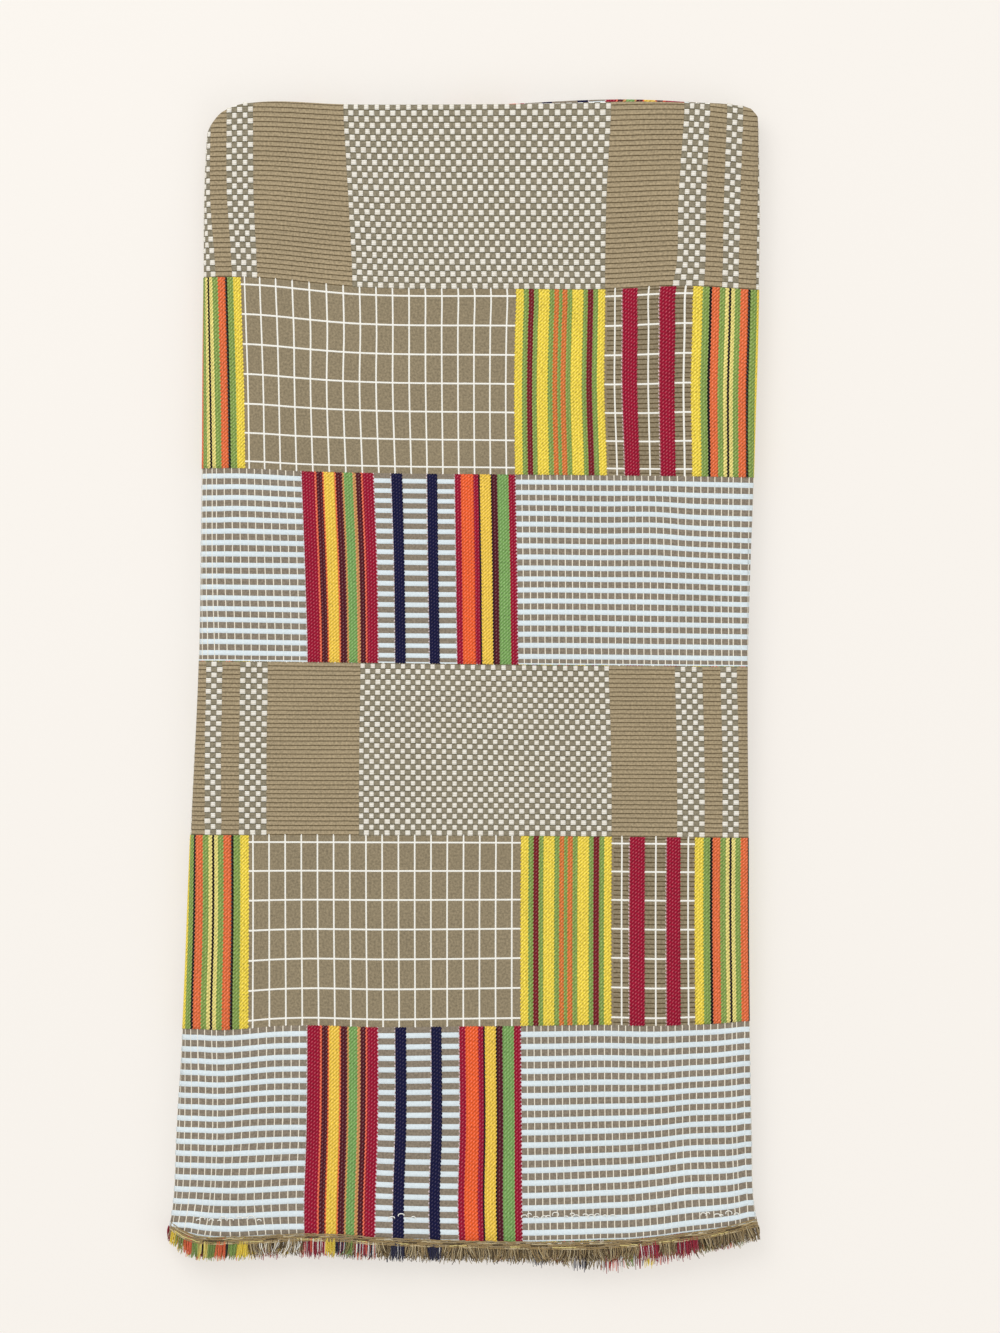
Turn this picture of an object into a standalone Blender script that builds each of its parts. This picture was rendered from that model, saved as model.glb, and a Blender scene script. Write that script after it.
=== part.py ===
"""Folded length of woven cotton cloth with a cut fringe on both selvages. Metres, +Z up, Blender 4.5.

The cloth is doubled across its width, and the doubled cloth is folded along its length into four panels.
It lies flat: +X runs across the pile, +Y points to the doubling fold, and the fringed selvages lie at -Y.
Everything is made flat first, in steps along and across the cloth, and then moved to where the fold puts it.
"""

import math
import random
from collections import namedtuple

import bmesh
import bpy
import numpy as np
from mathutils import Vector

# The cloth and its layers
LEAF = 0.0012  # thickness of one layer of cloth
LEAF_GAP = 0.0008  # air between two layers
LEAF_OFFSET = (LEAF + LEAF_GAP) / 2  # from the middle of a doubled panel to the middle of its leaf
PANEL_PITCH = 2 * (LEAF + LEAF_GAP)  # from one doubled panel to the next
PANELS = 4
PILE_HEIGHT = PANELS * PANEL_PITCH - LEAF_GAP

# The pile seen from above
WIDTH = 0.290  # mean width, between the two outermost folds
FOLD_RADIUS = PANEL_PITCH / 2  # middle of a doubled panel that turns straight back on the next
WRAP_RADIUS = PANEL_PITCH * (PANELS - 1) / 2  # middle of the panel that wraps the whole left side
WRAP_PUFF = 1.3  # how much wider than deep the left side bulges
FOLD_REACH = FOLD_RADIUS + LEAF_OFFSET + LEAF / 2
WRAP_REACH = WRAP_RADIUS + LEAF_OFFSET + LEAF / 2
RIGHT_CENTRE = WIDTH / 2 - FOLD_REACH
LEFT_CENTRE = WRAP_PUFF * WRAP_REACH - WIDTH / 2
RUN = RIGHT_CENTRE - LEFT_CENTRE

# The fringe
PARTING = 0.0003  # between the cloth's edge and the band of the fringe
BAND_DEPTH = 0.004
LOCK_LENGTH = 0.0064
LOCK_LENGTH_SPREAD = 0.0012
LOCK_TAPER = 0.62  # width of a lock's tip as a share of its root
LOCK_LEAN = 0.32  # how far a tip leans sideways, as a share of the root's width
LOCKS_PER_PANEL = 30
LOCK_SHARE = 0.68  # of the fringe's length that locks fill, the rest is gaps
SEED = 7

# How many flat faces make a turn, and where the rows and columns of a flat stretch lie
FOLD_COLUMNS = 6
WRAP_COLUMNS = 10
DOUBLING_ROWS = 6
RUN_STEPS = (0.0, 0.022, 0.055, 0.10, 0.20, 0.32, 0.44, 0.56, 0.68, 0.80, 0.91, 0.97, 1.0)
LEAF_STEPS = (0.0, 0.05, 0.14, 0.26, 0.38, 0.50, 0.62, 0.74, 0.85, 0.94, 1.0)

# The way along the cloth, from the cut end of the third panel to the cut end of the lowest one
Section = namedtuple("Section", "name length turn columns")
SECTIONS = (
    Section("third panel", RUN - 0.004, 0, None),
    Section("inner left fold", math.pi * FOLD_RADIUS, -1, FOLD_COLUMNS),
    Section("second panel", RUN, 0, None),
    Section("right fold", math.pi * FOLD_RADIUS, 1, FOLD_COLUMNS),
    Section("front panel", RUN, 0, None),
    Section("left wrap", math.pi * WRAP_RADIUS, 1, WRAP_COLUMNS),
    Section("lowest panel", RUN + 0.001, 0, None),
)
START_X = LEFT_CENTRE + SECTIONS[0].length
START_Z = LEAF_OFFSET + LEAF / 2 + PANEL_PITCH

# Left and right edge of the pile at each height
Side = namedtuple("Side", "y left right")
SIDES = (
    Side(-0.296, -0.1545, 0.1545),
    Side(-0.284, -0.1530, 0.1525),
    Side(-0.272, -0.1508, 0.1498),
    Side(-0.229, -0.1483, 0.1478),
    Side(-0.176, -0.1452, 0.1467),
    Side(-0.078, -0.1411, 0.1462),
    Side(0.011, -0.1370, 0.1458),
    Side(0.110, -0.1344, 0.1488),
    Side(0.203, -0.1326, 0.1514),
    Side(0.250, -0.1322, 0.1518),
    Side(0.300, -0.1312, 0.1506),
)

# Height of the doubling fold and of the woven edge, from the left side (0) to the right side (1)
End = namedtuple("End", "across y")
TOP_LINE = (
    End(0.000, 0.2810),
    End(0.030, 0.2955),
    End(0.080, 0.2996),
    End(0.250, 0.2986),
    End(0.530, 0.2986),
    End(0.860, 0.2996),
    End(0.960, 0.2975),
    End(1.000, 0.2890),
)
WOVEN_LINE = (
    End(0.000, -0.2750),
    End(0.030, -0.2815),
    End(0.120, -0.2842),
    End(0.230, -0.2827),
    End(0.390, -0.2853),
    End(0.560, -0.2868),
    End(0.730, -0.2868),
    End(0.860, -0.2832),
    End(0.930, -0.2801),
    End(1.000, -0.2750),
)

# Where a panel lies out of line with the others: it rises past the top edge or drops past the bottom edge
Stray = namedtuple("Stray", "panel centre half_width rise drop")
STRAYS = (
    Stray("second panel", 0.76, 0.24, 0.0012, 0.0),
    Stray("second panel", 0.75, 0.20, 0.0, 0.0045),
    Stray("second panel", 0.30, 0.22, 0.0004, 0.0010),
    Stray("third panel", 0.45, 0.40, -0.0015, 0.0008),
    Stray("lowest panel", 0.50, 0.42, -0.0010, -0.0006),
)
BACK_LEAF_DROP = 0.0014  # the leaf underneath ends this much lower

# Soft swells of the upper layers, none at the surface that the pile rests on
Swell = namedtuple("Swell", "height across along phase")
SWELLS = (
    Swell(0.00060, 0.300, 0.420, 0.6),
    Swell(0.00045, 0.210, 0.900, 2.1),
    Swell(0.00040, 0.700, 0.230, 4.0),
)


def through(points, at):
    """Value at a place on the smooth line through (place, value) points, level with the ends outside them."""
    places = [p[0] for p in points]
    values = [p[1] for p in points]
    at = min(max(at, places[0]), places[-1])
    i = min(max(int(np.searchsorted(places, at)) - 1, 0), len(places) - 2)
    slopes = np.gradient(values, places)
    step = places[i + 1] - places[i]
    t = (at - places[i]) / step
    return (
        (1 + 2 * t) * (1 - t) ** 2 * values[i]
        + t * (1 - t) ** 2 * step * slopes[i]
        + t * t * (3 - 2 * t) * values[i + 1]
        + t * t * (t - 1) * step * slopes[i + 1]
    )


def way(s):
    """Point (x, z), outward normal (x, z) and section at a length s along the middle of the doubled cloth."""
    x, z, heading = START_X, START_Z, math.pi
    for section in SECTIONS:
        here = min(max(s, 0.0), section.length)
        if section.turn:
            radius = section.length / math.pi
            centre_x = x - section.turn * radius * math.sin(heading)
            centre_z = z + section.turn * radius * math.cos(heading)
            turned = heading + section.turn * here / radius
            x = centre_x + section.turn * radius * math.sin(turned)
            z = centre_z - section.turn * radius * math.cos(turned)
            heading = turned
        else:
            x += here * math.cos(heading)
            z += here * math.sin(heading)
        if s <= section.length or section is SECTIONS[-1]:
            return x, z, math.sin(heading), -math.cos(heading), section
        s -= section.length


def across(x):
    """Share of the pile's width at x, where the left side bulges."""
    if x < LEFT_CENTRE:
        x = LEFT_CENTRE + WRAP_PUFF * (x - LEFT_CENTRE)
    return (x + WIDTH / 2) / WIDTH


def stray(section, share, field):
    """How far a panel strays from the common line at a share of the width."""
    total = 0.0
    for row in STRAYS:
        reach = abs(share - row.centre) / row.half_width
        if row.panel == section.name and reach < 1:
            total += getattr(row, field) * (0.5 + 0.5 * math.cos(math.pi * reach))
    return total


def top(s):
    """Height of the doubling fold's outside at s."""
    x, _, _, _, section = way(s)
    share = across(x)
    return through(TOP_LINE, share) + stray(section, share, "rise")


def woven_end(s, side):
    """Height of the woven edge at s, on the front leaf (side 1) or on the one underneath (side -1)."""
    x, _, _, _, section = way(s)
    share = across(x)
    line = through(WOVEN_LINE, share) - stray(section, share, "drop")
    return line if side > 0 else line - BACK_LEAF_DROP


def swell(share, y):
    """Rise of the topmost layer at a share of the width and a height y."""
    x = share * WIDTH
    return sum(
        w.height * math.sin(math.tau * (x / w.across + y / w.along) + w.phase) for w in SWELLS
    )


def place(s, y, offset):
    """Point of the pile at a length s, a height y and an offset from the middle of the doubled cloth."""
    x, z, normal_x, normal_z, _ = way(s)
    share = across(x + offset * normal_x)
    z += offset * normal_z
    left = through([(side.y, side.left) for side in SIDES], y)
    right = through([(side.y, side.right) for side in SIDES], y)
    lift = z / PILE_HEIGHT * swell(share, y)
    return Vector((left + share * (right - left), y, z + lift))


def stations():
    """Lengths along the cloth where its columns of faces begin and end."""
    found = [0.0]
    heading_left = True
    for section in SECTIONS:
        if section.columns:
            steps = np.linspace(0.0, 1.0, section.columns + 1)
        else:
            steps = 1.0 - np.array(RUN_STEPS[::-1]) if heading_left else np.array(RUN_STEPS)
            heading_left = not heading_left
        start = found[-1]
        found.extend(start + section.length * step for step in steps[1:])
    return found


def lock_stations():
    """Lengths along the fringe where its locks and gaps begin, and which columns are locks."""
    found = [0.0]
    locks = []
    for section in SECTIONS:
        start = found[-1]
        if section.columns:
            wide_turn = section.length > 2 * math.pi * FOLD_RADIUS
            for column in range(section.columns):
                if wide_turn and column % 3 == 1:
                    locks.append(len(found) - 1)
                found.append(start + section.length * (column + 1) / section.columns)
            continue
        pitch = section.length / LOCKS_PER_PANEL
        side_gap = pitch * (1 - LOCK_SHARE) / 2
        for lock in range(LOCKS_PER_PANEL):
            found.append(start + lock * pitch + side_gap)
            locks.append(len(found) - 1)
            found.append(start + (lock + 1) * pitch - side_gap)
        found.append(start + section.length)
    # The cloth's edge is straight from one of its columns to the next, so the band bends only where it does
    for corner in stations():
        nearest = min(range(len(found)), key=lambda i: abs(found[i] - corner))
        found[nearest] = corner
    return found, locks


def flat_slab(columns, rows):
    """Closed slab with a unit square for each column and row, one unit thick, its corner at the origin."""
    bm = bmesh.new()
    bmesh.ops.create_grid(bm, x_segments=columns, y_segments=rows, size=0.5)
    for vert in bm.verts:
        vert.co.x = round((vert.co.x + 0.5) * columns)
        vert.co.y = round((vert.co.y + 0.5) * rows)
    faces = bmesh.ops.extrude_face_region(bm, geom=bm.faces[:])
    for item in faces["geom"]:
        if isinstance(item, bmesh.types.BMVert):
            item.co.z = 1.0
    return bm


def finish(bm, name, material, collection):
    """Object in the collection from the folded mesh, with its faces turned outwards."""
    bmesh.ops.recalc_face_normals(bm, faces=bm.faces[:])
    if bm.calc_volume(signed=True) < 0:
        bmesh.ops.reverse_faces(bm, faces=bm.faces[:])
    bmesh.ops.triangulate(bm, faces=bm.faces[:], quad_method="FIXED")
    mesh = bpy.data.meshes.new(name)
    bm.to_mesh(mesh)
    bm.free()
    mesh.materials.append(material)
    mesh.shade_smooth()
    mesh.set_sharp_from_angle(angle=math.radians(35))
    made = bpy.data.objects.new(name, mesh)
    collection.objects.link(made)
    return made


def folded_cloth(material, collection):
    """The whole cloth: up the front leaf, round the doubling fold and down the leaf underneath."""
    columns = stations()
    leaf_rows = len(LEAF_STEPS) - 1
    bm = flat_slab(len(columns) - 1, 2 * leaf_rows + DOUBLING_ROWS)
    for vert in bm.verts:
        s = columns[round(vert.co.x)]
        row = round(vert.co.y)
        outside = (vert.co.z - 0.5) * LEAF
        fold_y = top(s) - LEAF_OFFSET - LEAF / 2
        if row <= leaf_rows:
            low = woven_end(s, 1)
            y = low + LEAF_STEPS[row] * (fold_y - low)
            offset = LEAF_OFFSET + outside
        elif row < leaf_rows + DOUBLING_ROWS:
            angle = math.pi * (row - leaf_rows) / DOUBLING_ROWS
            y = fold_y + (LEAF_OFFSET + outside) * math.sin(angle)
            offset = (LEAF_OFFSET + outside) * math.cos(angle)
        else:
            low = woven_end(s, -1)
            y = low + LEAF_STEPS[2 * leaf_rows + DOUBLING_ROWS - row] * (fold_y - low)
            offset = -LEAF_OFFSET - outside
        vert.co = place(s, y, offset)
    return finish(bm, "folded_cloth", material, collection)


def selvage_fringe(name, side, material, collection):
    """One comb of locks on its narrow band, along the woven edge of the front leaf or the one underneath."""
    columns, locks = lock_stations()
    cloth = stations()
    edge = [woven_end(s, side) for s in cloth]
    bm = flat_slab(len(columns) - 1, 1)
    random.seed(SEED + side)
    lower = {
        round(face.calc_center_median().x - 0.5): face
        for face in bm.faces
        if all(vert.co.y == 0 for vert in face.verts)
    }
    for column in locks:
        tip = bmesh.ops.extrude_discrete_faces(bm, faces=[lower[column]])["faces"][0]
        middle = column + 0.5
        lean = random.uniform(-LOCK_LEAN, LOCK_LEAN)
        length = LOCK_LENGTH + random.uniform(-LOCK_LENGTH_SPREAD, LOCK_LENGTH_SPREAD)
        for vert in tip.verts:
            vert.co.x = middle + lean + (vert.co.x - middle) * LOCK_TAPER
            vert.co.y = -length / BAND_DEPTH
    for vert in bm.verts:
        s = float(np.interp(vert.co.x, range(len(columns)), columns))
        y = float(np.interp(s, cloth, edge)) - PARTING - (1 - vert.co.y) * BAND_DEPTH
        vert.co = place(s, y, side * LEAF_OFFSET + (vert.co.z - 0.5) * LEAF)
    return finish(bm, name, material, collection)


def cotton(name, colour, roughness):
    """Plain cotton finish."""
    material = bpy.data.materials.new(name)
    material.use_nodes = True
    shader = material.node_tree.nodes["Principled BSDF"]
    shader.inputs["Base Color"].default_value = (*colour, 1.0)
    shader.inputs["Roughness"].default_value = roughness
    shader.inputs["Metallic"].default_value = 0.0
    return material


def set_on_centre(parts):
    """Moves the meshes so that the origin is under the middle of the whole, on the surface it rests on."""
    points = np.array([v.co[:] for part in parts for v in part.data.vertices])
    low, high = points.min(axis=0), points.max(axis=0)
    shift = Vector((-(low[0] + high[0]) / 2, -(low[1] + high[1]) / 2, -low[2]))
    for part in parts:
        for vert in part.data.vertices:
            vert.co += shift


def main():
    """Clears the scene and builds the cloth and its two fringes."""
    for old in list(bpy.data.objects):
        bpy.data.objects.remove(old, do_unlink=True)
    collection = bpy.data.collections.new("folded_woven_cloth")
    bpy.context.scene.collection.children.link(collection)
    cloth_cotton = cotton("woven_cotton", (0.35, 0.25, 0.12), 0.9)
    fringe_cotton = cotton("fringe_cotton", (0.30, 0.20, 0.09), 0.95)
    parts = [
        folded_cloth(cloth_cotton, collection),
        selvage_fringe("selvage_fringe_front", 1, fringe_cotton, collection),
        selvage_fringe("selvage_fringe_back", -1, fringe_cotton, collection),
    ]
    set_on_centre(parts)


main()
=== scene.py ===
"""Looks of a folded length of woven cotton cloth with fringed selvages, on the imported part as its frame.

Metres, +Z up. The cloth is doubled across its loom width and folded along its length into four panels.
Lengths along the cloth are s, from the third panel's cut end to the lowest panel's. Heights are y, and the
pattern has its own flat coordinates: across the repeat, and down from the first checked band.
"""

import logging
import math
from collections.abc import Iterable, Sequence
from dataclasses import dataclass, field
from enum import Enum
from functools import reduce
from operator import or_

import bmesh
import bpy
import numpy as np
from mathutils import Matrix, Vector


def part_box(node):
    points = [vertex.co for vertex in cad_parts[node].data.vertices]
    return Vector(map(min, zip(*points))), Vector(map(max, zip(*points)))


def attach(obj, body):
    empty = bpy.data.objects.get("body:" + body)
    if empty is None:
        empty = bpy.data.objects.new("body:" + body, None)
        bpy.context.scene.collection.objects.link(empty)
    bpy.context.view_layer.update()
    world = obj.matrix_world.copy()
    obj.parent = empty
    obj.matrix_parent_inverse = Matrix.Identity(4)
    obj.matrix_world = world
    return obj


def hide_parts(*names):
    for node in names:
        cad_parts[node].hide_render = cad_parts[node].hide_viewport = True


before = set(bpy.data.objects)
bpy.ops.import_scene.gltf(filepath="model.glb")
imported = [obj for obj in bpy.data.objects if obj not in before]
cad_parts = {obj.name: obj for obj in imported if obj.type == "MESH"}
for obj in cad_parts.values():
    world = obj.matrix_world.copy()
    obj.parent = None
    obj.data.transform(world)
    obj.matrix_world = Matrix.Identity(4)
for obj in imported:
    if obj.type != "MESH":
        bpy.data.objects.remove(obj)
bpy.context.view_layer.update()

log = logging.getLogger("woven_fabric")

BODY = "root"
MM = 0.001

# The photograph's scale and the places in it that the camera and the pattern are set by
PIXEL = 0.000514  # metres of cloth for each pixel
PHOTO_WIDTH = 1000
PHOTO_HEIGHT = 1333
PILE_CENTRE_PX = (464.5, 685.0)  # the middle of the folded pile
PATTERN_START_PX = 213.0  # middle line of the first coloured block, where the pattern's count starts

# One repeat of the pattern, in flat cloth
REPEAT = 266.0 * MM  # across the stripes, from one coloured block to the next
CHECK_BAND = 96.0 * MM
GRID_BAND = 96.9 * MM
BAR_BAND = 103.8 * MM
BANDS = CHECK_BAND + GRID_BAND + BAR_BAND


class Yarn(Enum):
    """Colours of the cotton yarns, as sRGB hex."""

    BEIGE = "#A39376"
    # painted shade: dark lines in the grooves between the ribs, of the plain ground and of the grid band
    RIB_GROOVE_SHADE = "#5A4B30"
    CHECK_GROUND = "#8C8470"
    # painted shade in the grooves between the rows of white squares
    CHECK_GROOVE_SHADE = "#69624C"
    GRID_GROUND = "#8F8269"
    BAR_GROUND = "#8A7F70"
    WHITE = "#F8F7F0"
    ICE = "#DFEBF1"
    CREAM = "#F6EFDE"
    YELLOW = "#FBE04E"
    GOLD = "#FBD24E"
    PALE_YELLOW = "#F1E285"
    GREEN = "#8CA853"
    LEAF = "#80AE60"
    ORANGE = "#EE7340"
    AMBER = "#E37E3C"
    HOT_ORANGE = "#FA652E"
    PEACH = "#D79A5C"
    TAN = "#A8946E"
    CRIMSON = "#A40030"
    MAROON = "#7E1822"
    OXBLOOD = "#560E1E"
    CORAL = "#EE6A4A"
    NAVY = "#03053C"
    BLACK = "#0F0A08"
    # pale of the weft in the beads, and painted highlight on the twill's ridges
    PALE_WEFT_AND_HIGHLIGHT = "#F2DCE0"
    FRINGE_TAN = "#A38A5C"
    FRINGE_DARK = "#5E4A26"
    FRINGE_PALE = "#CDBB92"
    SHINE = "#E6D48C"


def linear(colour: str) -> tuple[float, float, float, float]:
    """Linear RGBA of an sRGB hex colour.

    Args:
        colour: A "#RRGGBB" string.

    Returns:
        The colour for a shader's socket, with alpha 1.
    """
    parts = [int(colour[i : i + 2], 16) / 255 for i in (1, 3, 5)]
    red, green, blue = (c / 12.92 if c <= 0.04045 else ((c + 0.055) / 1.055) ** 2.4 for c in parts)
    return red, green, blue, 1.0


def add_node(
    tree: bpy.types.NodeTree,
    kind: str,
    settings: dict | None = None,
    inputs: dict | None = None,
) -> bpy.types.Node:
    """Adds one node to a shader or geometry tree.

    Args:
        tree: The tree it goes in.
        kind: Blender's name of the node's type.
        settings: Properties to set on the node.
        inputs: Sockets by name or number, each given a value or another node's output.

    Returns:
        The new node.
    """
    node = tree.nodes.new(kind)
    for name, value in (settings or {}).items():
        setattr(node, name, value)
    for key, value in (inputs or {}).items():
        if isinstance(value, bpy.types.NodeSocket):
            tree.links.new(value, node.inputs[key])
        else:
            node.inputs[key].default_value = value
    return node


def eased(
    t: np.ndarray, step: np.ndarray | float, values: Sequence[np.ndarray], slopes: Sequence[np.ndarray]
) -> np.ndarray:
    """Value at share t of a step, on the smooth line between its two ends.

    Args:
        t: Shares of the step, from 0 to 1.
        step: Its length.
        values: The values at its two ends.
        slopes: The slopes there.

    Returns:
        The values at t.
    """
    return (
        (1 + 2 * t) * (1 - t) ** 2 * values[0]
        + t * (1 - t) ** 2 * step * slopes[0]
        + t * t * (3 - 2 * t) * values[1]
        + t * t * (t - 1) * step * slopes[1]
    )


def through(points: Sequence[Sequence[float]], at: np.ndarray) -> np.ndarray:
    """Values on the smooth line through (place, value) points, level with the ends outside them.

    Args:
        points: The line's points, in the order of their places.
        at: The places to read it at.

    Returns:
        The values there.
    """
    places, values = (np.array(column, dtype=float) for column in zip(*points))
    at = np.clip(at, places[0], places[-1])
    i = np.clip(np.searchsorted(places, at) - 1, 0, len(places) - 2)
    slopes = np.gradient(values, places)
    step = places[i + 1] - places[i]
    return eased((at - places[i]) / step, step, (values[i], values[i + 1]), (slopes[i], slopes[i + 1]))


def smooth(low: float, high: float, at: np.ndarray) -> np.ndarray:
    """Soft step from 0 at low to 1 at high."""
    t = np.clip((at - low) / (high - low), 0.0, 1.0)
    return t * t * (3 - 2 * t)


@dataclass(frozen=True)
class Section:
    """One stretch of the way along the cloth: a flat panel, or a turn of half a circle."""

    name: str
    length: float
    turn: int


@dataclass(frozen=True)
class Stray:
    """Where a panel lies out of line with the others."""

    panel: str
    centre: float
    half_width: float
    rise: float
    drop: float


@dataclass(frozen=True)
class Swell:
    """A soft wave over the pile: its height, its length across and along, and its phase."""

    height: float
    across: float
    along: float
    phase: float


@dataclass
class FoldedForm:
    """The doubled and folded cloth's form, in the same sizes as the solid's."""

    leaf: float = 0.0012
    gap: float = 0.0008
    panels: int = 4
    width: float = 0.290
    puff: float = 1.3
    back_leaf_drop: float = 0.0014
    sides: tuple = (  # height, left edge, right edge
        (-0.296, -0.1545, 0.1545),
        (-0.284, -0.1530, 0.1525),
        (-0.272, -0.1508, 0.1498),
        (-0.229, -0.1483, 0.1478),
        (-0.176, -0.1452, 0.1467),
        (-0.078, -0.1411, 0.1462),
        (0.011, -0.1370, 0.1458),
        (0.110, -0.1352, 0.1488),
        (0.203, -0.1344, 0.1514),
        (0.250, -0.1341, 0.1518),
        (0.276, -0.1331, 0.1514),
        (0.300, -0.1312, 0.1508),
    )
    top_line: tuple = (  # share of the width, height of the doubling fold
        (0.000, 0.2770),
        (0.008, 0.2865),
        (0.018, 0.2925),
        (0.035, 0.2965),
        (0.055, 0.2987),
        (0.080, 0.2996),
        (0.250, 0.2986),
        (0.530, 0.2986),
        (0.860, 0.2996),
        (0.965, 0.2978),
        (0.988, 0.2962),
        (1.000, 0.2905),
    )
    woven_line: tuple = (  # share of the width, height of the woven edge
        (0.000, -0.2750),
        (0.030, -0.2815),
        (0.120, -0.2842),
        (0.230, -0.2827),
        (0.390, -0.2853),
        (0.560, -0.2868),
        (0.730, -0.2868),
        (0.860, -0.2832),
        (0.930, -0.2801),
        (1.000, -0.2750),
    )
    strays: tuple = (
        Stray("second panel", 0.72, 0.28, 0.0016, 0.0),
        Stray("second panel", 0.75, 0.20, 0.0, 0.0045),
        Stray("second panel", 0.30, 0.22, 0.0004, 0.0010),
        Stray("third panel", 0.45, 0.40, -0.0015, 0.0008),
        Stray("lowest panel", 0.50, 0.42, -0.0010, -0.0006),
    )
    swells: tuple = (
        Swell(0.00060, 0.300, 0.420, 0.6),
        Swell(0.00045, 0.210, 0.900, 2.1),
        Swell(0.00040, 0.700, 0.230, 4.0),
    )
    puckers: tuple = (  # short ripples where the selvage draws the cloth in
        Swell(0.00042, 0.034, 0.310, 1.0),
        Swell(0.00030, 0.021, -0.240, 3.3),
    )
    pucker_reach: float = 0.050
    shift: Vector = field(default_factory=lambda: Vector((0.0, 0.0, 0.0)))

    def __post_init__(self) -> None:
        """Works out the lengths that follow from the sizes."""
        self.offset = (self.leaf + self.gap) / 2
        pitch = 2 * (self.leaf + self.gap)
        self.height = self.panels * pitch - self.gap
        self.fold_radius = pitch / 2
        self.wrap_radius = pitch * (self.panels - 1) / 2
        self.right_centre = self.width / 2 - self.fold_radius - self.offset - self.leaf / 2
        wrap_reach = self.wrap_radius + self.offset + self.leaf / 2
        self.left_centre = self.puff * wrap_reach - self.width / 2
        run = self.right_centre - self.left_centre
        self.sections = (
            Section("third panel", run - 0.004, 0),
            Section("inner left fold", math.pi * self.fold_radius, -1),
            Section("second panel", run, 0),
            Section("right fold", math.pi * self.fold_radius, 1),
            Section("front panel", run, 0),
            Section("left wrap", math.pi * self.wrap_radius, 1),
            Section("lowest panel", run + 0.001, 0),
        )
        self.start = (self.left_centre + self.sections[0].length, self.offset + self.leaf / 2 + pitch)
        self.length = sum(section.length for section in self.sections)

    def begins(self, name: str) -> float:
        """Length along the cloth where a section begins."""
        names = [section.name for section in self.sections]
        return sum(section.length for section in self.sections[: names.index(name)])

    def way(self, s: np.ndarray) -> tuple[np.ndarray, ...]:
        """Middle line of the doubled cloth.

        Args:
            s: Lengths along the cloth.

        Returns:
            x, z, the outward normal's x and z, and the number of the section, for each length.
        """
        s = np.clip(np.asarray(s, dtype=float), 0.0, self.length)
        x, z, normal_x, normal_z = (np.zeros_like(s) for _ in range(4))
        number = np.zeros(s.shape, dtype=int)
        at_x, at_z, heading, begin = *self.start, math.pi, 0.0
        for index, section in enumerate(self.sections):
            here = s >= begin if index else np.ones(s.shape, dtype=bool)
            gone = s[here] - begin
            if section.turn:
                radius = section.length / math.pi
                centre_x = at_x - section.turn * radius * math.sin(heading)
                centre_z = at_z + section.turn * radius * math.cos(heading)
                turned = heading + section.turn * gone / radius
                x[here] = centre_x + section.turn * radius * np.sin(turned)
                z[here] = centre_z - section.turn * radius * np.cos(turned)
                normal_x[here], normal_z[here] = np.sin(turned), -np.cos(turned)
                heading += section.turn * math.pi
                at_z = centre_z - section.turn * radius * math.cos(heading)
            else:
                x[here] = at_x + gone * math.cos(heading)
                z[here] = at_z
                normal_x[here], normal_z[here] = math.sin(heading), -math.cos(heading)
                at_x += section.length * math.cos(heading)
            number[here] = index
            begin += section.length
        return x, z, normal_x, normal_z, number

    def across(self, x: np.ndarray) -> np.ndarray:
        """Share of the pile's width at x, where the left side bulges."""
        bulged = self.left_centre + self.puff * (x - self.left_centre)
        return (np.where(x < self.left_centre, bulged, x) + self.width / 2) / self.width

    def stray(self, number: np.ndarray, share: np.ndarray, part: str) -> np.ndarray:
        """How far each place strays from the common line, in rise or in drop."""
        total = np.zeros_like(share)
        for row in self.strays:
            reach = np.abs(share - row.centre) / row.half_width
            on_it = (reach < 1) & np.array([self.sections[i].name == row.panel for i in number])
            total += np.where(on_it, getattr(row, part) * (0.5 + 0.5 * np.cos(math.pi * reach)), 0.0)
        return total

    def top(self, s: np.ndarray) -> np.ndarray:
        """Height of the doubling fold's outside."""
        x, _, _, _, number = self.way(s)
        share = self.across(x)
        return through(self.top_line, share) + self.stray(number, share, "rise")

    def woven_end(self, s: np.ndarray, side: int) -> np.ndarray:
        """Height of the woven edge, on the front leaf (side 1) or on the one underneath (side -1)."""
        x, _, _, _, number = self.way(s)
        share = self.across(x)
        line = through(self.woven_line, share) - self.stray(number, share, "drop")
        return line if side > 0 else line - self.back_leaf_drop

    def lift(self, share: np.ndarray, y: np.ndarray, z: np.ndarray) -> np.ndarray:
        """Rise of the layers over the flat pile, nothing at the bottom and the whole of it at the top."""
        x = share * self.width
        total = sum(
            w.height * np.sin(math.tau * (x / w.across + y / w.along) + w.phase) for w in self.swells
        )
        low = through(self.woven_line, share)
        near = 1 - smooth(0.0, self.pucker_reach, y - low)
        ripple = sum(
            w.height * np.sin(math.tau * (x / w.across + y / w.along) + w.phase) for w in self.puckers
        )
        return (total + near * ripple) * np.clip(z, 0.0, None) / self.height

    def place(self, s: np.ndarray, y: np.ndarray, offset: np.ndarray | float) -> np.ndarray:
        """Points of the pile, in the frame's own coordinates.

        Args:
            s: Lengths along the cloth.
            y: Heights in the pile.
            offset: Distances from the middle of the doubled cloth, outwards.

        Returns:
            One row of x, y and z for each point.
        """
        x, z, normal_x, normal_z, _ = self.way(s)
        share = self.across(x + offset * normal_x)
        z = z + offset * normal_z
        left = through([(row[0], row[1]) for row in self.sides], y)
        right = through([(row[0], row[2]) for row in self.sides], y)
        x = left + share * (right - left)
        z = z + self.lift(share, y, z)
        return np.stack([x, np.broadcast_to(y, x.shape), z], axis=-1) + np.array(self.shift)

    def fold_height(self, s: np.ndarray) -> np.ndarray:
        """Height where the front leaf ends and the doubling fold begins."""
        return self.top(s) - self.offset - self.leaf / 2


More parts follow.
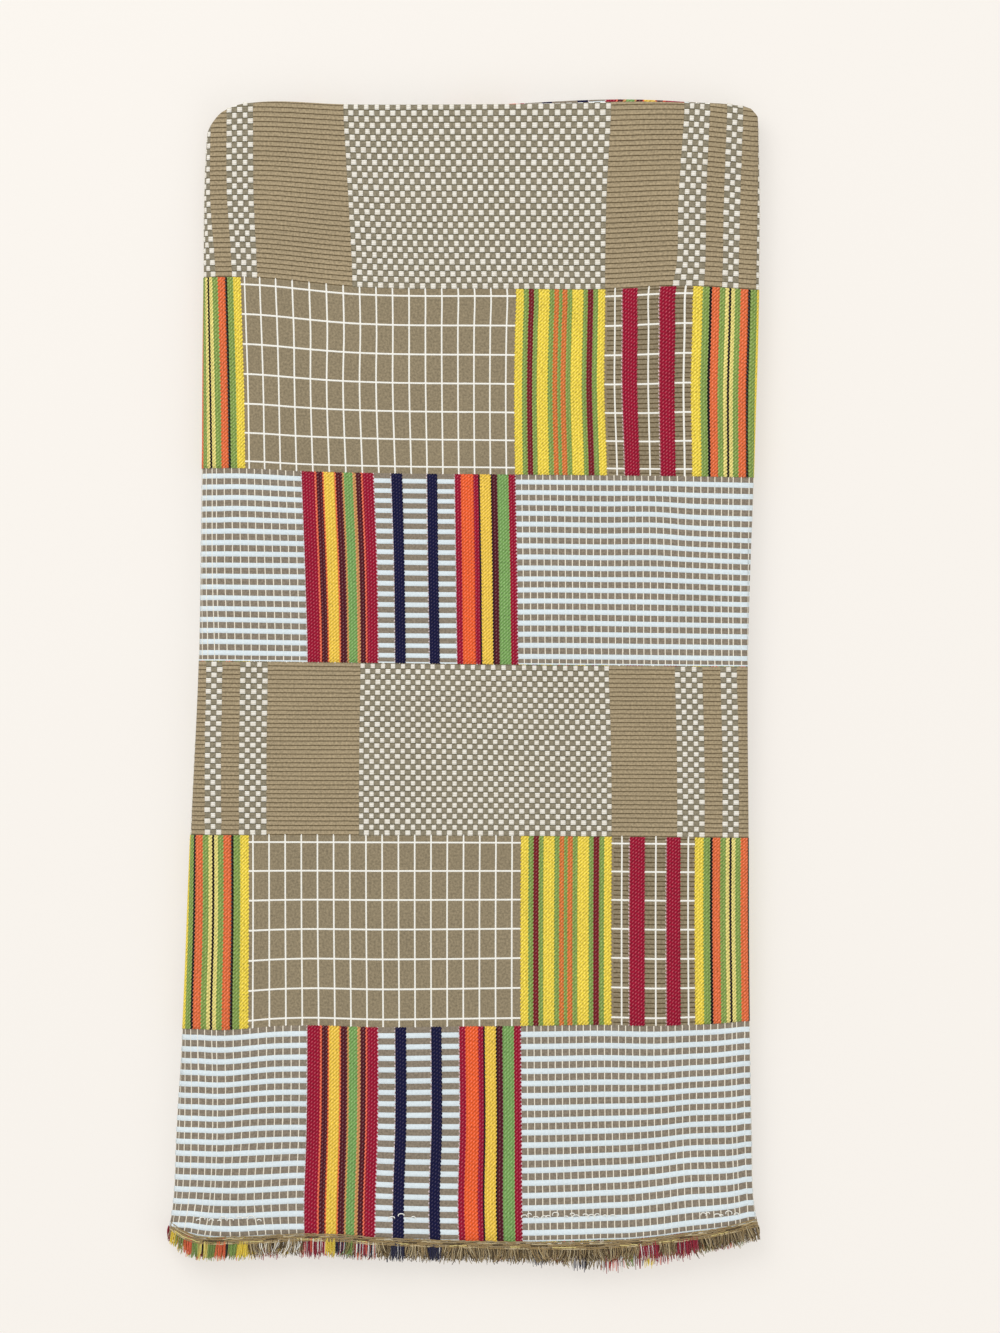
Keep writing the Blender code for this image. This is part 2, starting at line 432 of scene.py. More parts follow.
@dataclass
class PatternLay:
    """How the woven pattern lies on the folded cloth: where its lines run, by the photograph."""

    form: FoldedForm
    # Height in the photograph, then (place across the pattern, drift to the right of the reference), pixels
    drifts: tuple = (
        (112, ((-20, -11), (40, -13.2), (146, -15.9), (398.5, 0.0), (464, 7.6), (491, 5.6), (517, 4.6))),
        (200, ((-20, -9), (40, -12.7), (146, -10.9), (398.5, -4.7), (464, 1.6), (491, 1.8), (517, 1.6))),
        (268, ((0, -4.2), (40, -9.0), (146, -7.3), (398.5, -5.9), (430, -5.0), (464, -0.8),
            (491, 0.8), (517, 0.2))),
        (289, ((0, -3.6), (40, -8.4), (146, -6.8), (398.5, -6.0), (424, -7.0), (460, -5.6),
            (484, -1.0), (517, -0.2))),
        (330, ((0, -2.9), (40, -7.0), (146, -6.0), (398.5, -6.4), (424, -7.0), (460, -6.2),
            (484, -2.0), (517, -1.0))),
        (380, ((0, -2.2), (40, -5.3), (250, -5.3), (303, -6.0), (398.5, -7.0), (460, -6.6),
            (484, -3.4), (518, -2.4))),
        (470, ((0, -1.0), (40, -3.8), (200, -3.6), (300, -5.4), (424, -4.7), (460, -5.6),
            (484, -2.2), (518, -2.4))),
        (570, ((94, -1.4), (181, -0.4), (217, -2.6), (246, -3.0), (308, -3.6), (518, -3.0))),
        (656, ((94, 1.0), (181, 0.6), (217, -1.0), (246, -2.0), (308, -2.6), (518, -2.2))),
        (750, ((0, 0.0), (518, 0.0))),
        (930, ((0, 0.0), (518, 0.0))),
        (1015, ((0, -2.0), (40, -0.4), (280, 0.0), (480, 0.5), (518, 1.0))),
        (1130, ((0, -1.0), (94, 0.0), (518, 1.0))),
        (1212, ((0, -5.0), (94, -2.4), (181, -1.8), (217, -1.6), (246, -1.0), (308, 1.4), (518, 4.0))),
        (1245, ((-35, -7.0), (0, -11.0), (19, -4.0), (36, 0.0), (94, -2.0), (308, 1.8), (518, 6.0))),
    )
    # Place down the pattern, then (place across the photograph, height in it), in pixels
    levels: tuple = (
        (0.0, ((200, 92), (240, 88.6), (357, 91.5), (514, 91.0), (600, 90.5), (693, 90.5), (757, 98))),
        (CHECK_BAND, ((205, 277), (240, 277), (357, 287), (514, 289), (600, 289.4), (693, 286),
        (757, 290))),
        (
            CHECK_BAND + GRID_BAND,
            (
                (205, 469.2), (225, 468.6), (245, 468.8), (300, 471.5), (380, 473.5), (514, 475),
                (600, 475.8),
                (693, 476.8), (755, 478),
            ),
        ),
        (
            CHECK_BAND + GRID_BAND + 21.8 * MM,
            (
                (203, 510.5), (225, 508.5), (245, 508.5), (270, 509.5), (295, 510.5),
                (385, 512.5), (453, 513.2),
                (545, 513.5), (600, 514.5), (660, 514.6), (690, 517), (715, 518), (748, 519),
            ),
        ),
        (
            CHECK_BAND + GRID_BAND + 51.6 * MM,
            (
                (203, 565), (245, 565.4), (295, 565.8), (385, 567.5), (453, 568.4), (545, 568.1),
                (600, 568.8),
                (660, 569.1), (690, 570.5), (715, 571.6), (748, 572.9),
            ),
        ),
        (
            CHECK_BAND + GRID_BAND + 81.3 * MM,
            ((203, 619.1), (295, 620.9), (385, 623.4), (453, 623.8), (545, 623), (660, 624.5),
            (748, 626.1)),
        ),
        (BANDS, ((200, 661), (350, 663), (514, 665), (640, 666), (748, 667))),
        (BANDS + CHECK_BAND, ((190, 835), (350, 835.5), (514, 836), (748, 838))),
        (
            BANDS + CHECK_BAND + GRID_BAND,
            (
                (186, 1027.5), (203, 1029.8), (225, 1030.5), (245, 1029.2), (270, 1027),
                (295, 1026), (385, 1027.8),
                (453, 1027), (545, 1026), (600, 1025.2), (660, 1026.3), (690, 1025.2),
                (715, 1024.2), (750, 1021),
            ),
        ),
        (
            BANDS + CHECK_BAND + GRID_BAND + 21.8 * MM,
            (
                (186, 1071), (203, 1073), (225, 1073.5), (245, 1071.9), (270, 1069.6),
                (295, 1068.9), (385, 1072.1),
                (453, 1071.2), (545, 1071.1), (600, 1069.9), (660, 1070), (690, 1067.9),
                (715, 1066.6), (748, 1063.1),
            ),
        ),
        (
            BANDS + CHECK_BAND + GRID_BAND + 51.6 * MM,
            (
                (186, 1129.6), (225, 1130.8), (245, 1129.2), (270, 1127.9), (295, 1127.5), (385, 1132.4),
                (453, 1132.8), (545, 1132.5), (600, 1130.9), (630, 1129.9), (660, 1127.9), (690, 1124.6),
                (715, 1123.6), (735, 1122.8), (748, 1120.6),
            ),
        ),
        (
            BANDS + CHECK_BAND + GRID_BAND + 81.3 * MM,
            (
                (186, 1189), (225, 1190.6), (245, 1190.5), (270, 1189.4), (295, 1188),
                (385, 1194.3), (453, 1195.8),
                (545, 1195.4), (600, 1193), (630, 1191.5), (660, 1188.4), (690, 1184.5), (715, 1183.3),
                (735, 1181.6), (748, 1178.6),
            ),
        ),
        (
            2 * BANDS - 1.8 * MM,
            (
                (171, 1219), (185, 1229), (203, 1233.5), (225, 1235), (245, 1234.6),
                (270, 1233.2), (300, 1232.8),
                (385, 1236.6), (453, 1238.2), (545, 1238.7), (600, 1237), (630, 1236.1), (660, 1233.1),
                (690, 1229.2), (715, 1226.2), (735, 1223.4), (756, 1218),
            ),
        ),
    )
    second_panel_slip: float = -7.0 * MM  # the layer underneath lies this far up the pattern
    second_panel_shift: float = -10.0 * MM  # and this far across it
    net_across: tuple = (-60.0 * MM, 300.0 * MM)
    net_down: tuple = (-12.0 * MM, 604.0 * MM)
    net_step: float = 2.5 * MM
    net_rounds: int = 14
    level_rounds: int = 4
    slip_from: float = 20.0 * MM  # past the front panel's edge, where the slip begins and where it is whole
    slip_to: float = 60.0 * MM
    # Shares of the right fold and of the left wrap where the face is lost to view
    shows_on: tuple = (0.45, 0.55)
    shows_over: float = 1.3  # and how far round the doubling fold, in radians
    net: np.ndarray | None = None

    def __post_init__(self) -> None:
        """Measures the outer face along the cloth, where it rounds the folds."""
        form = self.form
        self.marks = np.linspace(0.0, form.length, 4001)
        trail = form.place(self.marks, np.zeros_like(self.marks), form.offset + form.leaf / 2)
        hops = np.linalg.norm(np.diff(trail, axis=0), axis=1)
        self.walked = np.concatenate([[0.0], np.cumsum(hops)])

    def photo_x(self, x: np.ndarray) -> np.ndarray:
        """Pixel across the photograph of a place in the frame."""
        return PILE_CENTRE_PX[0] + (x - self.form.shift.x) / PIXEL

    def photo_y(self, y: np.ndarray) -> np.ndarray:
        """Pixel down the photograph of a height in the pile."""
        return PILE_CENTRE_PX[1] - y / PIXEL

    def flat_across(self, px: np.ndarray, py: np.ndarray) -> np.ndarray:
        """Place across the pattern for pixels on the front panel, in metres."""
        rows = []
        for _, drifts in self.drifts:
            places = np.array([place for place, _ in drifts], dtype=float)
            seen = PATTERN_START_PX + places + np.array([drift for _, drift in drifts])
            inside = through(np.stack([seen, places], axis=1), px)
            rows.append(inside + np.minimum(px - seen[0], 0) + np.maximum(px - seen[-1], 0))
        return self.between([height for height, _ in self.drifts], rows, py) * PIXEL

    def flat_down(self, px: np.ndarray, py: np.ndarray) -> np.ndarray:
        """Place down the pattern for pixels on the front panel, in metres."""
        heights = np.stack([through(points, px) for _, points in self.levels])
        marks = np.array([mark for mark, _ in self.levels])
        slopes = np.gradient(heights, marks, axis=0)
        down = np.zeros_like(px)
        for i in range(len(marks) - 1):
            step = marks[i + 1] - marks[i]
            tall = heights[i + 1] - heights[i]
            t = np.clip((py - heights[i]) / tall, 0.0, 1.0)
            for _ in range(self.level_rounds):
                height = eased(t, step, heights[i : i + 2], slopes[i : i + 2])
                t = np.clip(t + (py - height) / tall, 0.0, 1.0)
            here = (py >= heights[i]) if i else np.ones(px.shape, dtype=bool)
            down = np.where(here, marks[i] + t * step, down)
        past = np.maximum(py - heights[-1], 0.0) * PIXEL
        before = np.maximum(heights[0] - py, 0.0) * PIXEL
        return down + past - before

    @staticmethod
    def between(heights: Sequence[float], rows: Sequence[np.ndarray], at: np.ndarray) -> np.ndarray:
        """Blends rows of values that belong to heights, smoothly at the heights asked for."""
        table = np.stack(rows)
        heights = np.array(heights, dtype=float)
        slopes = np.gradient(table, heights, axis=0)
        at = np.clip(at, heights[0], heights[-1])
        i = np.clip(np.searchsorted(heights, at) - 1, 0, len(heights) - 2)
        step = heights[i + 1] - heights[i]
        column = np.arange(table.shape[1])
        ends = (table[i, column], table[i + 1, column])
        return eased((at - heights[i]) / step, step, ends, (slopes[i, column], slopes[i + 1, column]))

    def coordinates(self, s: np.ndarray, y: np.ndarray, beyond: np.ndarray | float = 0.0) -> np.ndarray:
        """Pattern coordinates of places on the cloth.

        Args:
            s: Lengths along the cloth.
            y: Heights on the front leaf.
            beyond: How far past the start of the doubling fold a place lies, round it and down the back.

        Returns:
            One row of across and down, in metres, for each place.
        """
        form = self.form
        first = form.begins("front panel")
        last = form.begins("left wrap")
        held = np.clip(s, first, last)
        flat_y = np.where(np.asarray(beyond) > 0, form.fold_height(s), y)
        points = form.place(held, flat_y, form.offset)
        px, py = self.photo_x(points[:, 0]), self.photo_y(flat_y)
        rounded = np.interp(held, self.marks, self.walked) - np.interp(s, self.marks, self.walked)
        across = self.flat_across(px, py) + rounded
        down = self.flat_down(px, py) - beyond
        slipped = smooth(first - self.slip_from, first - self.slip_to, s)
        across = across + slipped * self.second_panel_shift
        return np.stack([across, down + slipped * self.second_panel_slip], axis=-1)

    def chart(self) -> None:
        """Works out, for a fine net of pattern coordinates, the places on the front leaf."""
        form = self.form
        low, high = self.net_across
        self.net_u = np.arange(low, high, self.net_step)
        self.net_v = np.arange(self.net_down[0], self.net_down[1], self.net_step)
        across, down = (net.ravel() for net in np.meshgrid(self.net_u, self.net_v, indexing="ij"))
        middle = form.begins("front panel") + form.sections[4].length / 2
        centre = self.coordinates(np.array([middle]), np.array([0.0]))[0]
        s = middle - (across - centre[0])
        y = -(down - centre[1])
        for _ in range(self.net_rounds):
            now = self.coordinates(s, y)
            s = s + 0.75 * (now[:, 0] - across)
            y = y + 0.9 * (now[:, 1] - down)
        self.net = np.stack([s, y], axis=-1).reshape(len(self.net_u), len(self.net_v), 2)

    def spot(self, across: np.ndarray, down: np.ndarray) -> tuple[np.ndarray, np.ndarray]:
        """Finds places on the front leaf by their pattern coordinates.

        Args:
            across: Places across the pattern, in metres.
            down: Places down the pattern, in metres.

        Returns:
            Lengths along the cloth and heights in the pile.
        """
        if self.net is None:
            self.chart()
        i = np.clip((across - self.net_u[0]) / self.net_step, 0, len(self.net_u) - 1.001)
        j = np.clip((down - self.net_v[0]) / self.net_step, 0, len(self.net_v) - 1.001)
        column, row = i.astype(int), j.astype(int)
        a, b = (i - column)[:, None], (j - row)[:, None]
        found = (
            self.net[column, row] * (1 - a) * (1 - b)
            + self.net[column + 1, row] * a * (1 - b)
            + self.net[column, row + 1] * (1 - a) * b
            + self.net[column + 1, row + 1] * a * b
        )
        return found[:, 0], found[:, 1]

    def raised(self, across: np.ndarray, down: np.ndarray, height: np.ndarray | float) -> np.ndarray:
        """Points over the cloth's outer face, by their pattern coordinates.

        Args:
            across: Places across the pattern, in metres.
            down: Places down the pattern, in metres.
            height: Heights over the face, below nothing inside the cloth.

        Returns:
            One row of x, y and z for each point.
        """
        form = self.form
        s, y = self.spot(across, down)
        fold_y = form.fold_height(s)
        reach = form.offset + form.leaf / 2
        turned = np.clip((y - fold_y) / reach, 0.0, math.pi)
        out = reach + height
        return form.place(s, np.minimum(y, fold_y) + out * np.sin(turned), out * np.cos(turned))

    def seen(self, across: np.ndarray, down: np.ndarray) -> np.ndarray:
        """Which places lie on the part of the cloth that shows, from fold to wrap and below the top."""
        form = self.form
        s, y = self.spot(across, down)
        first = form.begins("right fold") + self.shows_on[0] * form.sections[3].length
        last = form.begins("left wrap") + self.shows_on[1] * form.sections[5].length
        reach = form.offset + form.leaf / 2
        over = (y - form.fold_height(s)) / reach
        return (s > first) & (s < last) & (over < self.shows_over) & (y > form.woven_end(s, 1))


def new_finish(name: str, roughness: float, specular: float = 0.5) -> tuple:
    """Starts a matt material.

    Args:
        name: The finish, by its real material.
        roughness: How matt it is.
        specular: How strongly it mirrors light.

    Returns:
        The material, its node tree and its Principled shader.
    """
    material = bpy.data.materials.new(name)
    material.use_nodes = True
    tree = material.node_tree
    shader = tree.nodes["Principled BSDF"]
    shader.inputs["Roughness"].default_value = roughness
    shader.inputs["Specular IOR Level"].default_value = specular
    return material, tree, shader


@dataclass(frozen=True)
class Signal:
    """A value in a node tree. Each sum on it adds one Math node."""

    tree: bpy.types.NodeTree
    socket: bpy.types.NodeSocket

    def math(self, operation: str, *operands: object) -> "Signal":
        """Adds a Math node.

        Args:
            operation: The node's operation.
            *operands: Signals and numbers, in the order of the node's inputs.

        Returns:
            The result.
        """
        inputs = {i: x.socket if isinstance(x, Signal) else x for i, x in enumerate(operands)}
        node = add_node(self.tree, "ShaderNodeMath", {"operation": operation}, inputs)
        return Signal(self.tree, node.outputs[0])

    def __add__(self, other: object) -> "Signal":
        """The sum of the two."""
        return self.math("ADD", self, other)

    def __sub__(self, other: object) -> "Signal":
        """This value less the other."""
        return self.math("SUBTRACT", self, other)

    def __rsub__(self, other: object) -> "Signal":
        """The other less this value."""
        return self.math("SUBTRACT", other, self)

    def __mul__(self, other: object) -> "Signal":
        """The product of the two."""
        return self.math("MULTIPLY", self, other)

    def __truediv__(self, other: object) -> "Signal":
        """This value divided by the other."""
        return self.math("DIVIDE", self, other)

    def __mod__(self, other: object) -> "Signal":
        """What is over when this value is divided by the other."""
        return self.math("FLOORED_MODULO", self, other)

    def __pow__(self, other: object) -> "Signal":
        """This value to the power of the other."""
        return self.math("POWER", self, other)

    def __or__(self, other: object) -> "Signal":
        """The larger of the two."""
        return self.math("MAXIMUM", self, other)

    def __abs__(self) -> "Signal":
        """The value without its sign."""
        return self.math("ABSOLUTE", self)

    def __lt__(self, other: object) -> "Signal":
        """1 where this value is less, and 0 elsewhere."""
        return self.math("LESS_THAN", self, other)

    def __gt__(self, other: object) -> "Signal":
        """1 where this value is more, and 0 elsewhere."""
        return self.math("GREATER_THAN", self, other)

    def scaled(self, factor: float, plus: float) -> "Signal":
        """This value times a factor, plus a number."""
        return self.math("MULTIPLY_ADD", self, factor, plus)

    def pingpong(self, size: float) -> "Signal":
        """Up to a size and down again, over and over."""
        return self.math("PINGPONG", self, size)

    def wrap(self, high: float, low: float) -> "Signal":
        """The value brought between two numbers by whole turns."""
        return self.math("WRAP", self, high, low)

    def floor(self) -> "Signal":
        """The whole number below."""
        return self.math("FLOOR", self)

    def fract(self) -> "Signal":
        """What is over the whole number."""
        return self.math("FRACT", self)

    def near(self, middle: float, reach: float) -> "Signal":
        """1 within reach of a middle, and 0 outside it."""
        return self.math("COMPARE", self, middle, reach)

    def near_any(self, marks: Iterable[tuple[float, float]]) -> "Signal":
        """1 within reach of any of several middles, each given with its reach."""
        return reduce(or_, [self.near(middle, reach) for middle, reach in marks])


def blend(under: bpy.types.NodeSocket | tuple, over: object, share: Signal) -> bpy.types.NodeSocket:
    """Lays one colour over another by a share."""
    mixed = {0: share.socket, 6: under, 7: over}
    return add_node(share.tree, "ShaderNodeMix", {"data_type": "RGBA"}, mixed).outputs[2]


@dataclass(frozen=True)
class Stripe:
    """One coloured stripe of a block: its yarn and its width."""

    yarn: Yarn
    width: float


def stripes(*pairs: tuple[Yarn, float]) -> tuple[Stripe, ...]:
    """Stripes from pairs of yarn and width in millimetres."""
    return tuple(Stripe(yarn, width * MM) for yarn, width in pairs)


@dataclass(frozen=True)
class Block:
    """A block of coloured stripes side by side, from its left edge."""

    start: float
    stripes: tuple[Stripe, ...]

    @property
    def width(self) -> float:
        """Whole width of the block."""
        return sum(stripe.width for stripe in self.stripes)


MIRROR_BLOCK = Block(  # half of the block that repeats at both ends, from its middle outwards
    0.0,
    stripes(
        (Yarn.BLACK, 0.55), (Yarn.PALE_YELLOW, 1.85), (Yarn.GREEN, 2.9), (Yarn.ORANGE, 3.92),
        (Yarn.BLACK, 1.3), (Yarn.GREEN, 3.45), (Yarn.YELLOW, 4.5),
    ),
)
YELLOW_BLOCK = Block(
    158.0 * MM,
    stripes(
        (Yarn.YELLOW, 3.9), (Yarn.GREEN, 2.5), (Yarn.MAROON, 2.9), (Yarn.GREEN, 2.3), (Yarn.YELLOW, 5.7),
        (Yarn.GREEN, 2.6), (Yarn.AMBER, 2.2), (Yarn.GREEN, 1.95), (Yarn.AMBER, 2.5), (Yarn.GREEN, 2.6),
        (Yarn.YELLOW, 5.9), (Yarn.GREEN, 2.3), (Yarn.MAROON, 2.9), (Yarn.GREEN, 2.6), (Yarn.YELLOW, 3.9),
    ),
)
RED_BLOCK = Block(
    48.0 * MM,
    stripes(
        (Yarn.CRIMSON, 6.5), (Yarn.CORAL, 1.0), (Yarn.OXBLOOD, 2.9), (Yarn.ORANGE, 0.8), (Yarn.GOLD, 5.2),
        (Yarn.ORANGE, 0.8), (Yarn.OXBLOOD, 3.2), (Yarn.PEACH, 0.9), (Yarn.LEAF, 4.4), (Yarn.PEACH, 1.5),
        (Yarn.OXBLOOD, 2.8), (Yarn.CORAL, 0.8), (Yarn.CRIMSON, 5.6),
    ),
)
ORANGE_BLOCK = Block(
    126.4 * MM,
    stripes(
        (Yarn.CRIMSON, 3.2), (Yarn.HOT_ORANGE, 6.6), (Yarn.CRIMSON, 2.6), (Yarn.BLACK, 0.8),
        (Yarn.GOLD, 5.6), (Yarn.BLACK, 0.8), (Yarn.OXBLOOD, 2.7), (Yarn.LEAF, 5.8), (Yarn.CRIMSON, 3.7),
    ),
)
CRIMSON_BARS = ((213.9 * MM, 8.0 * MM), (232.9 * MM, 7.3 * MM))
NAVY_BARS = ((93.2 * MM, 5.8 * MM), (111.8 * MM, 5.5 * MM))


@dataclass(frozen=True)
class PatternSizes:
    """Counts and sizes of the checks, the grid and the bars."""

    check_row: float = 3.0 * MM
    check_start: float = 75.0 * MM
    check_columns: int = 49
    check_pitch: float = 2.65 * MM
    group_pitch: float = 2.85 * MM
    group_centre: float = 20.5 * MM
    wide_half: float = 0.47  # of the pitch
    narrow_half: float = 0.40
    row_half: float = 0.43  # of a row
    ribs: int = 39
    grid_first_row: float = 3.6 * MM
    grid_row: float = 14.87 * MM
    grid_first_column: float = 20.6 * MM
    grid_column: float = 8.31 * MM
    grid_columns: int = 17
    grid_line: float = 0.88 * MM
    lone_lines: tuple = (210.0 * MM, 227.5 * MM, 244.2 * MM)
    bar_pitch: float = 5.95 * MM
    bar_centre: float = 0.665  # of the pitch
    bar_share: float = 0.45
    bars: int = 17
    last_line: float = 17.33  # pitches from the band's start to the thin white line
    middle_pitch: float = 5.60 * MM  # of the bars between the red block and the orange one
    middle_bars: int = 18
    left_thread: float = 2.64 * MM  # place of one cream thread, and how far apart they stand
    left_pitch: float = 4.14 * MM
    right_thread: float = 212.0 * MM
    right_pitch: float = 3.62 * MM
    thread: float = 0.48 * MM
    twill: float = 1.9 * MM  # between diagonal ridges, drawn twice as coarse as real so that they show
    zigzag: float = 0.95 * MM
    fibre: float = 1.1 * MM
    blotch: float = 28.0 * MM


@dataclass
class WovenPattern:
    """Where each yarn of the pattern lies: shares worked out from the pattern's own coordinates."""

    across: Signal
    down: Signal
    sizes: PatternSizes

    def __post_init__(self) -> None:
        """Works out every share."""
        self.twill()
        self.checks()
        self.grid()
        self.bars()
        self.blocks()

    def twill(self) -> None:
        """The stripes' twill, diagonal ridges cut into dots by the upright threads, and the bands."""
        z = self.sizes
        slant = ((self.across + self.down) / z.twill).pingpong(0.5)
        upright = (self.across / (z.twill * 0.77)).pingpong(0.5)
        self.dots = slant * upright.scaled(0.8, 0.3) * 2.9
        self.pick = (self.down / z.twill).pingpong(0.5)
        stitched = self.across + (self.pick - 0.25) * z.zigzag
        self.u = self.across % REPEAT
        self.us = stitched % REPEAT
        self.m = abs(self.across.wrap(REPEAT / 2, -REPEAT / 2))
        self.ms = abs(stitched.wrap(REPEAT / 2, -REPEAT / 2))
        self.v = self.down % BANDS
        ragged = (self.down + upright * z.zigzag) % BANDS
        self.in_check = self.v < CHECK_BAND
        self.in_bars = ragged > CHECK_BAND + GRID_BAND
        self.in_grid = (1.0 - self.in_check) - self.in_bars

    def checks(self) -> None:
        """White squares in the wide field and in the groups of five and three columns, the ribs, and painted
        shade in the grooves between the rows of squares and between the ribs.
        """
        z = self.sizes
        rows = self.v / z.check_row
        odd = rows.floor() % 2.0
        even = 1.0 - odd
        in_row = rows.fract()
        half_field = z.check_columns * z.check_pitch / 2
        field = self.u.near(z.check_start + half_field, half_field - 0.2 * MM)
        column = abs(((self.u - z.check_start) / z.check_pitch - 0.5).wrap(1.0, -1.0))
        five = abs(self.m - z.group_centre) / z.group_pitch
        in_five = five < 2 + z.wide_half
        five_at = abs(five.wrap(1.0, -1.0))
        three = self.m / z.group_pitch
        in_three = three < 1 + z.wide_half
        three_at = abs(three.wrap(1.0, -1.0))
        wide = (
            field * (column > 1 - z.wide_half)
            | in_five * (five_at < z.wide_half - 0.02)
            | in_three * (three_at > 1 - z.wide_half + 0.02)
        )
        narrow = (
            field * (column < z.narrow_half)
            | in_five * (five_at > 1 - z.narrow_half)
            | in_three * (three_at < z.narrow_half)
        )
        self.squares = (wide * odd | narrow * even) * in_row.near(0.5, z.row_half) * self.in_check
        self.check_ground = (field | in_five | in_three) * self.in_check
        # Painted shade in the grooves between the rows of squares
        self.painted_check_grooves = (1.0 - in_row.near(0.5, 0.40)) * self.check_ground
        self.in_rib = (self.v * (z.ribs / CHECK_BAND)).fract()
        self.plain_check = self.in_check - self.check_ground
        # Painted shade: a dark line in the groove between each two ribs
        self.painted_rib_grooves = self.in_rib.near(0.85, 0.09) * self.plain_check

    def grid(self) -> None:
        """White grid, the crimson bars, the mirrored block, and painted shade in the grooves of the fine ribs
        between the bars.
        """
        z = self.sizes
        row = self.v - (CHECK_BAND + z.grid_first_row)
        level = row.wrap(z.grid_row / 2, -z.grid_row / 2).near(0.0, z.grid_line / 2)
        column = (self.u - z.grid_first_column).wrap(z.grid_column / 2, -z.grid_column / 2)
        fine = z.grid_line * 0.45
        half_field = (z.grid_columns - 1) * z.grid_column / 2
        in_field = self.u.near(z.grid_first_column + half_field, half_field + z.grid_line)
        upright = column.near(0.0, fine) * in_field
        lone = self.u.near_any((line, fine) for line in z.lone_lines)
        self.grid_lines = (lone | upright | level) * self.in_grid
        crimson = self.us.near_any((start + width / 2, width / 2) for start, width in CRIMSON_BARS)
        self.crimson = crimson * self.in_grid
        self.mirror = (self.ms < MIRROR_BLOCK.width) * self.in_grid
        self.mirror_at = self.ms / MIRROR_BLOCK.width
        # Painted shade: dark lines in the grooves between the fine ribs
        rib = row.wrap(z.grid_row / 12, -z.grid_row / 12).near(0.0, 0.30 * MM)
        self.painted_grid_rib_grooves = rib * self.u.near(226.8 * MM, 21.0 * MM) * self.in_grid

    def bars(self) -> None:
        """White bars of both spacings, the cream threads between them, and the navy bars."""
        z = self.sizes
        red_end = RED_BLOCK.start + RED_BLOCK.width
        middle = (red_end + ORANGE_BLOCK.start) / 2
        between_blocks = self.u.near(middle, middle - red_end)
        start = self.v - (CHECK_BAND + GRID_BAND)
        outer = start / z.bar_pitch
        outer_bars = outer.fract().near(z.bar_centre, z.bar_share / 2) * (outer < float(z.bars))
        inner = (start - z.bar_centre * z.bar_pitch) / z.middle_pitch + 0.5
        half_count = z.middle_bars / 2
        inner_bars = inner.fract().near(0.5, z.bar_share / 2) * inner.near(half_count, half_count)
        last = outer.near(z.last_line, 0.06)
        bars = outer_bars * (1.0 - between_blocks) | inner_bars * between_blocks | last
        self.white_bars = bars * self.in_bars
        turn = self.u.wrap(REPEAT + 1.0 * MM, 1.0 * MM)
        left, right = (
            (turn - place).wrap(pitch / 2, -pitch / 2).near(0.0, z.thread / 2) * on
            for on, place, pitch in (
                (turn < RED_BLOCK.start, z.left_thread, z.left_pitch),
                (turn > ORANGE_BLOCK.start + ORANGE_BLOCK.width, z.right_thread, z.right_pitch),
            )
        )
        self.threads = (left | right) * self.in_bars
        self.crossing = self.threads * self.white_bars * 0.12
        navy = self.us.near_any((start + width / 2, width / 2) for start, width in NAVY_BARS)
        self.navy = navy * self.in_bars

    def blocks(self) -> None:
        """The striped blocks, and the pale beads where a coloured warp meets the ground."""
        self.block_at = []
        self.block_on = []
        for block, band in (
            (YELLOW_BLOCK, self.in_grid),
            (RED_BLOCK, self.in_bars),
            (ORANGE_BLOCK, self.in_bars),
        ):
            at = (self.us - block.start) / block.width
            self.block_at.append(at)
            self.block_on.append(at.near(0.5, 0.5) * band)
        self.coloured = reduce(or_, (self.crimson, self.mirror, self.navy, *self.block_on))
        self.whites = self.squares | self.grid_lines | self.white_bars | self.threads
        edges = [(start, self.in_grid) for start, _ in CRIMSON_BARS]
        for block in (RED_BLOCK, ORANGE_BLOCK):
            edges += [(block.start, self.in_bars), (block.start + block.width, self.in_bars)]
        edges += [(start, self.in_bars) for start, _ in NAVY_BARS]
        along = reduce(or_, [self.us.near(edge, 0.26 * MM) * band for edge, band in edges])
        self.beads = along * (self.pick > 0.24) * 0.75


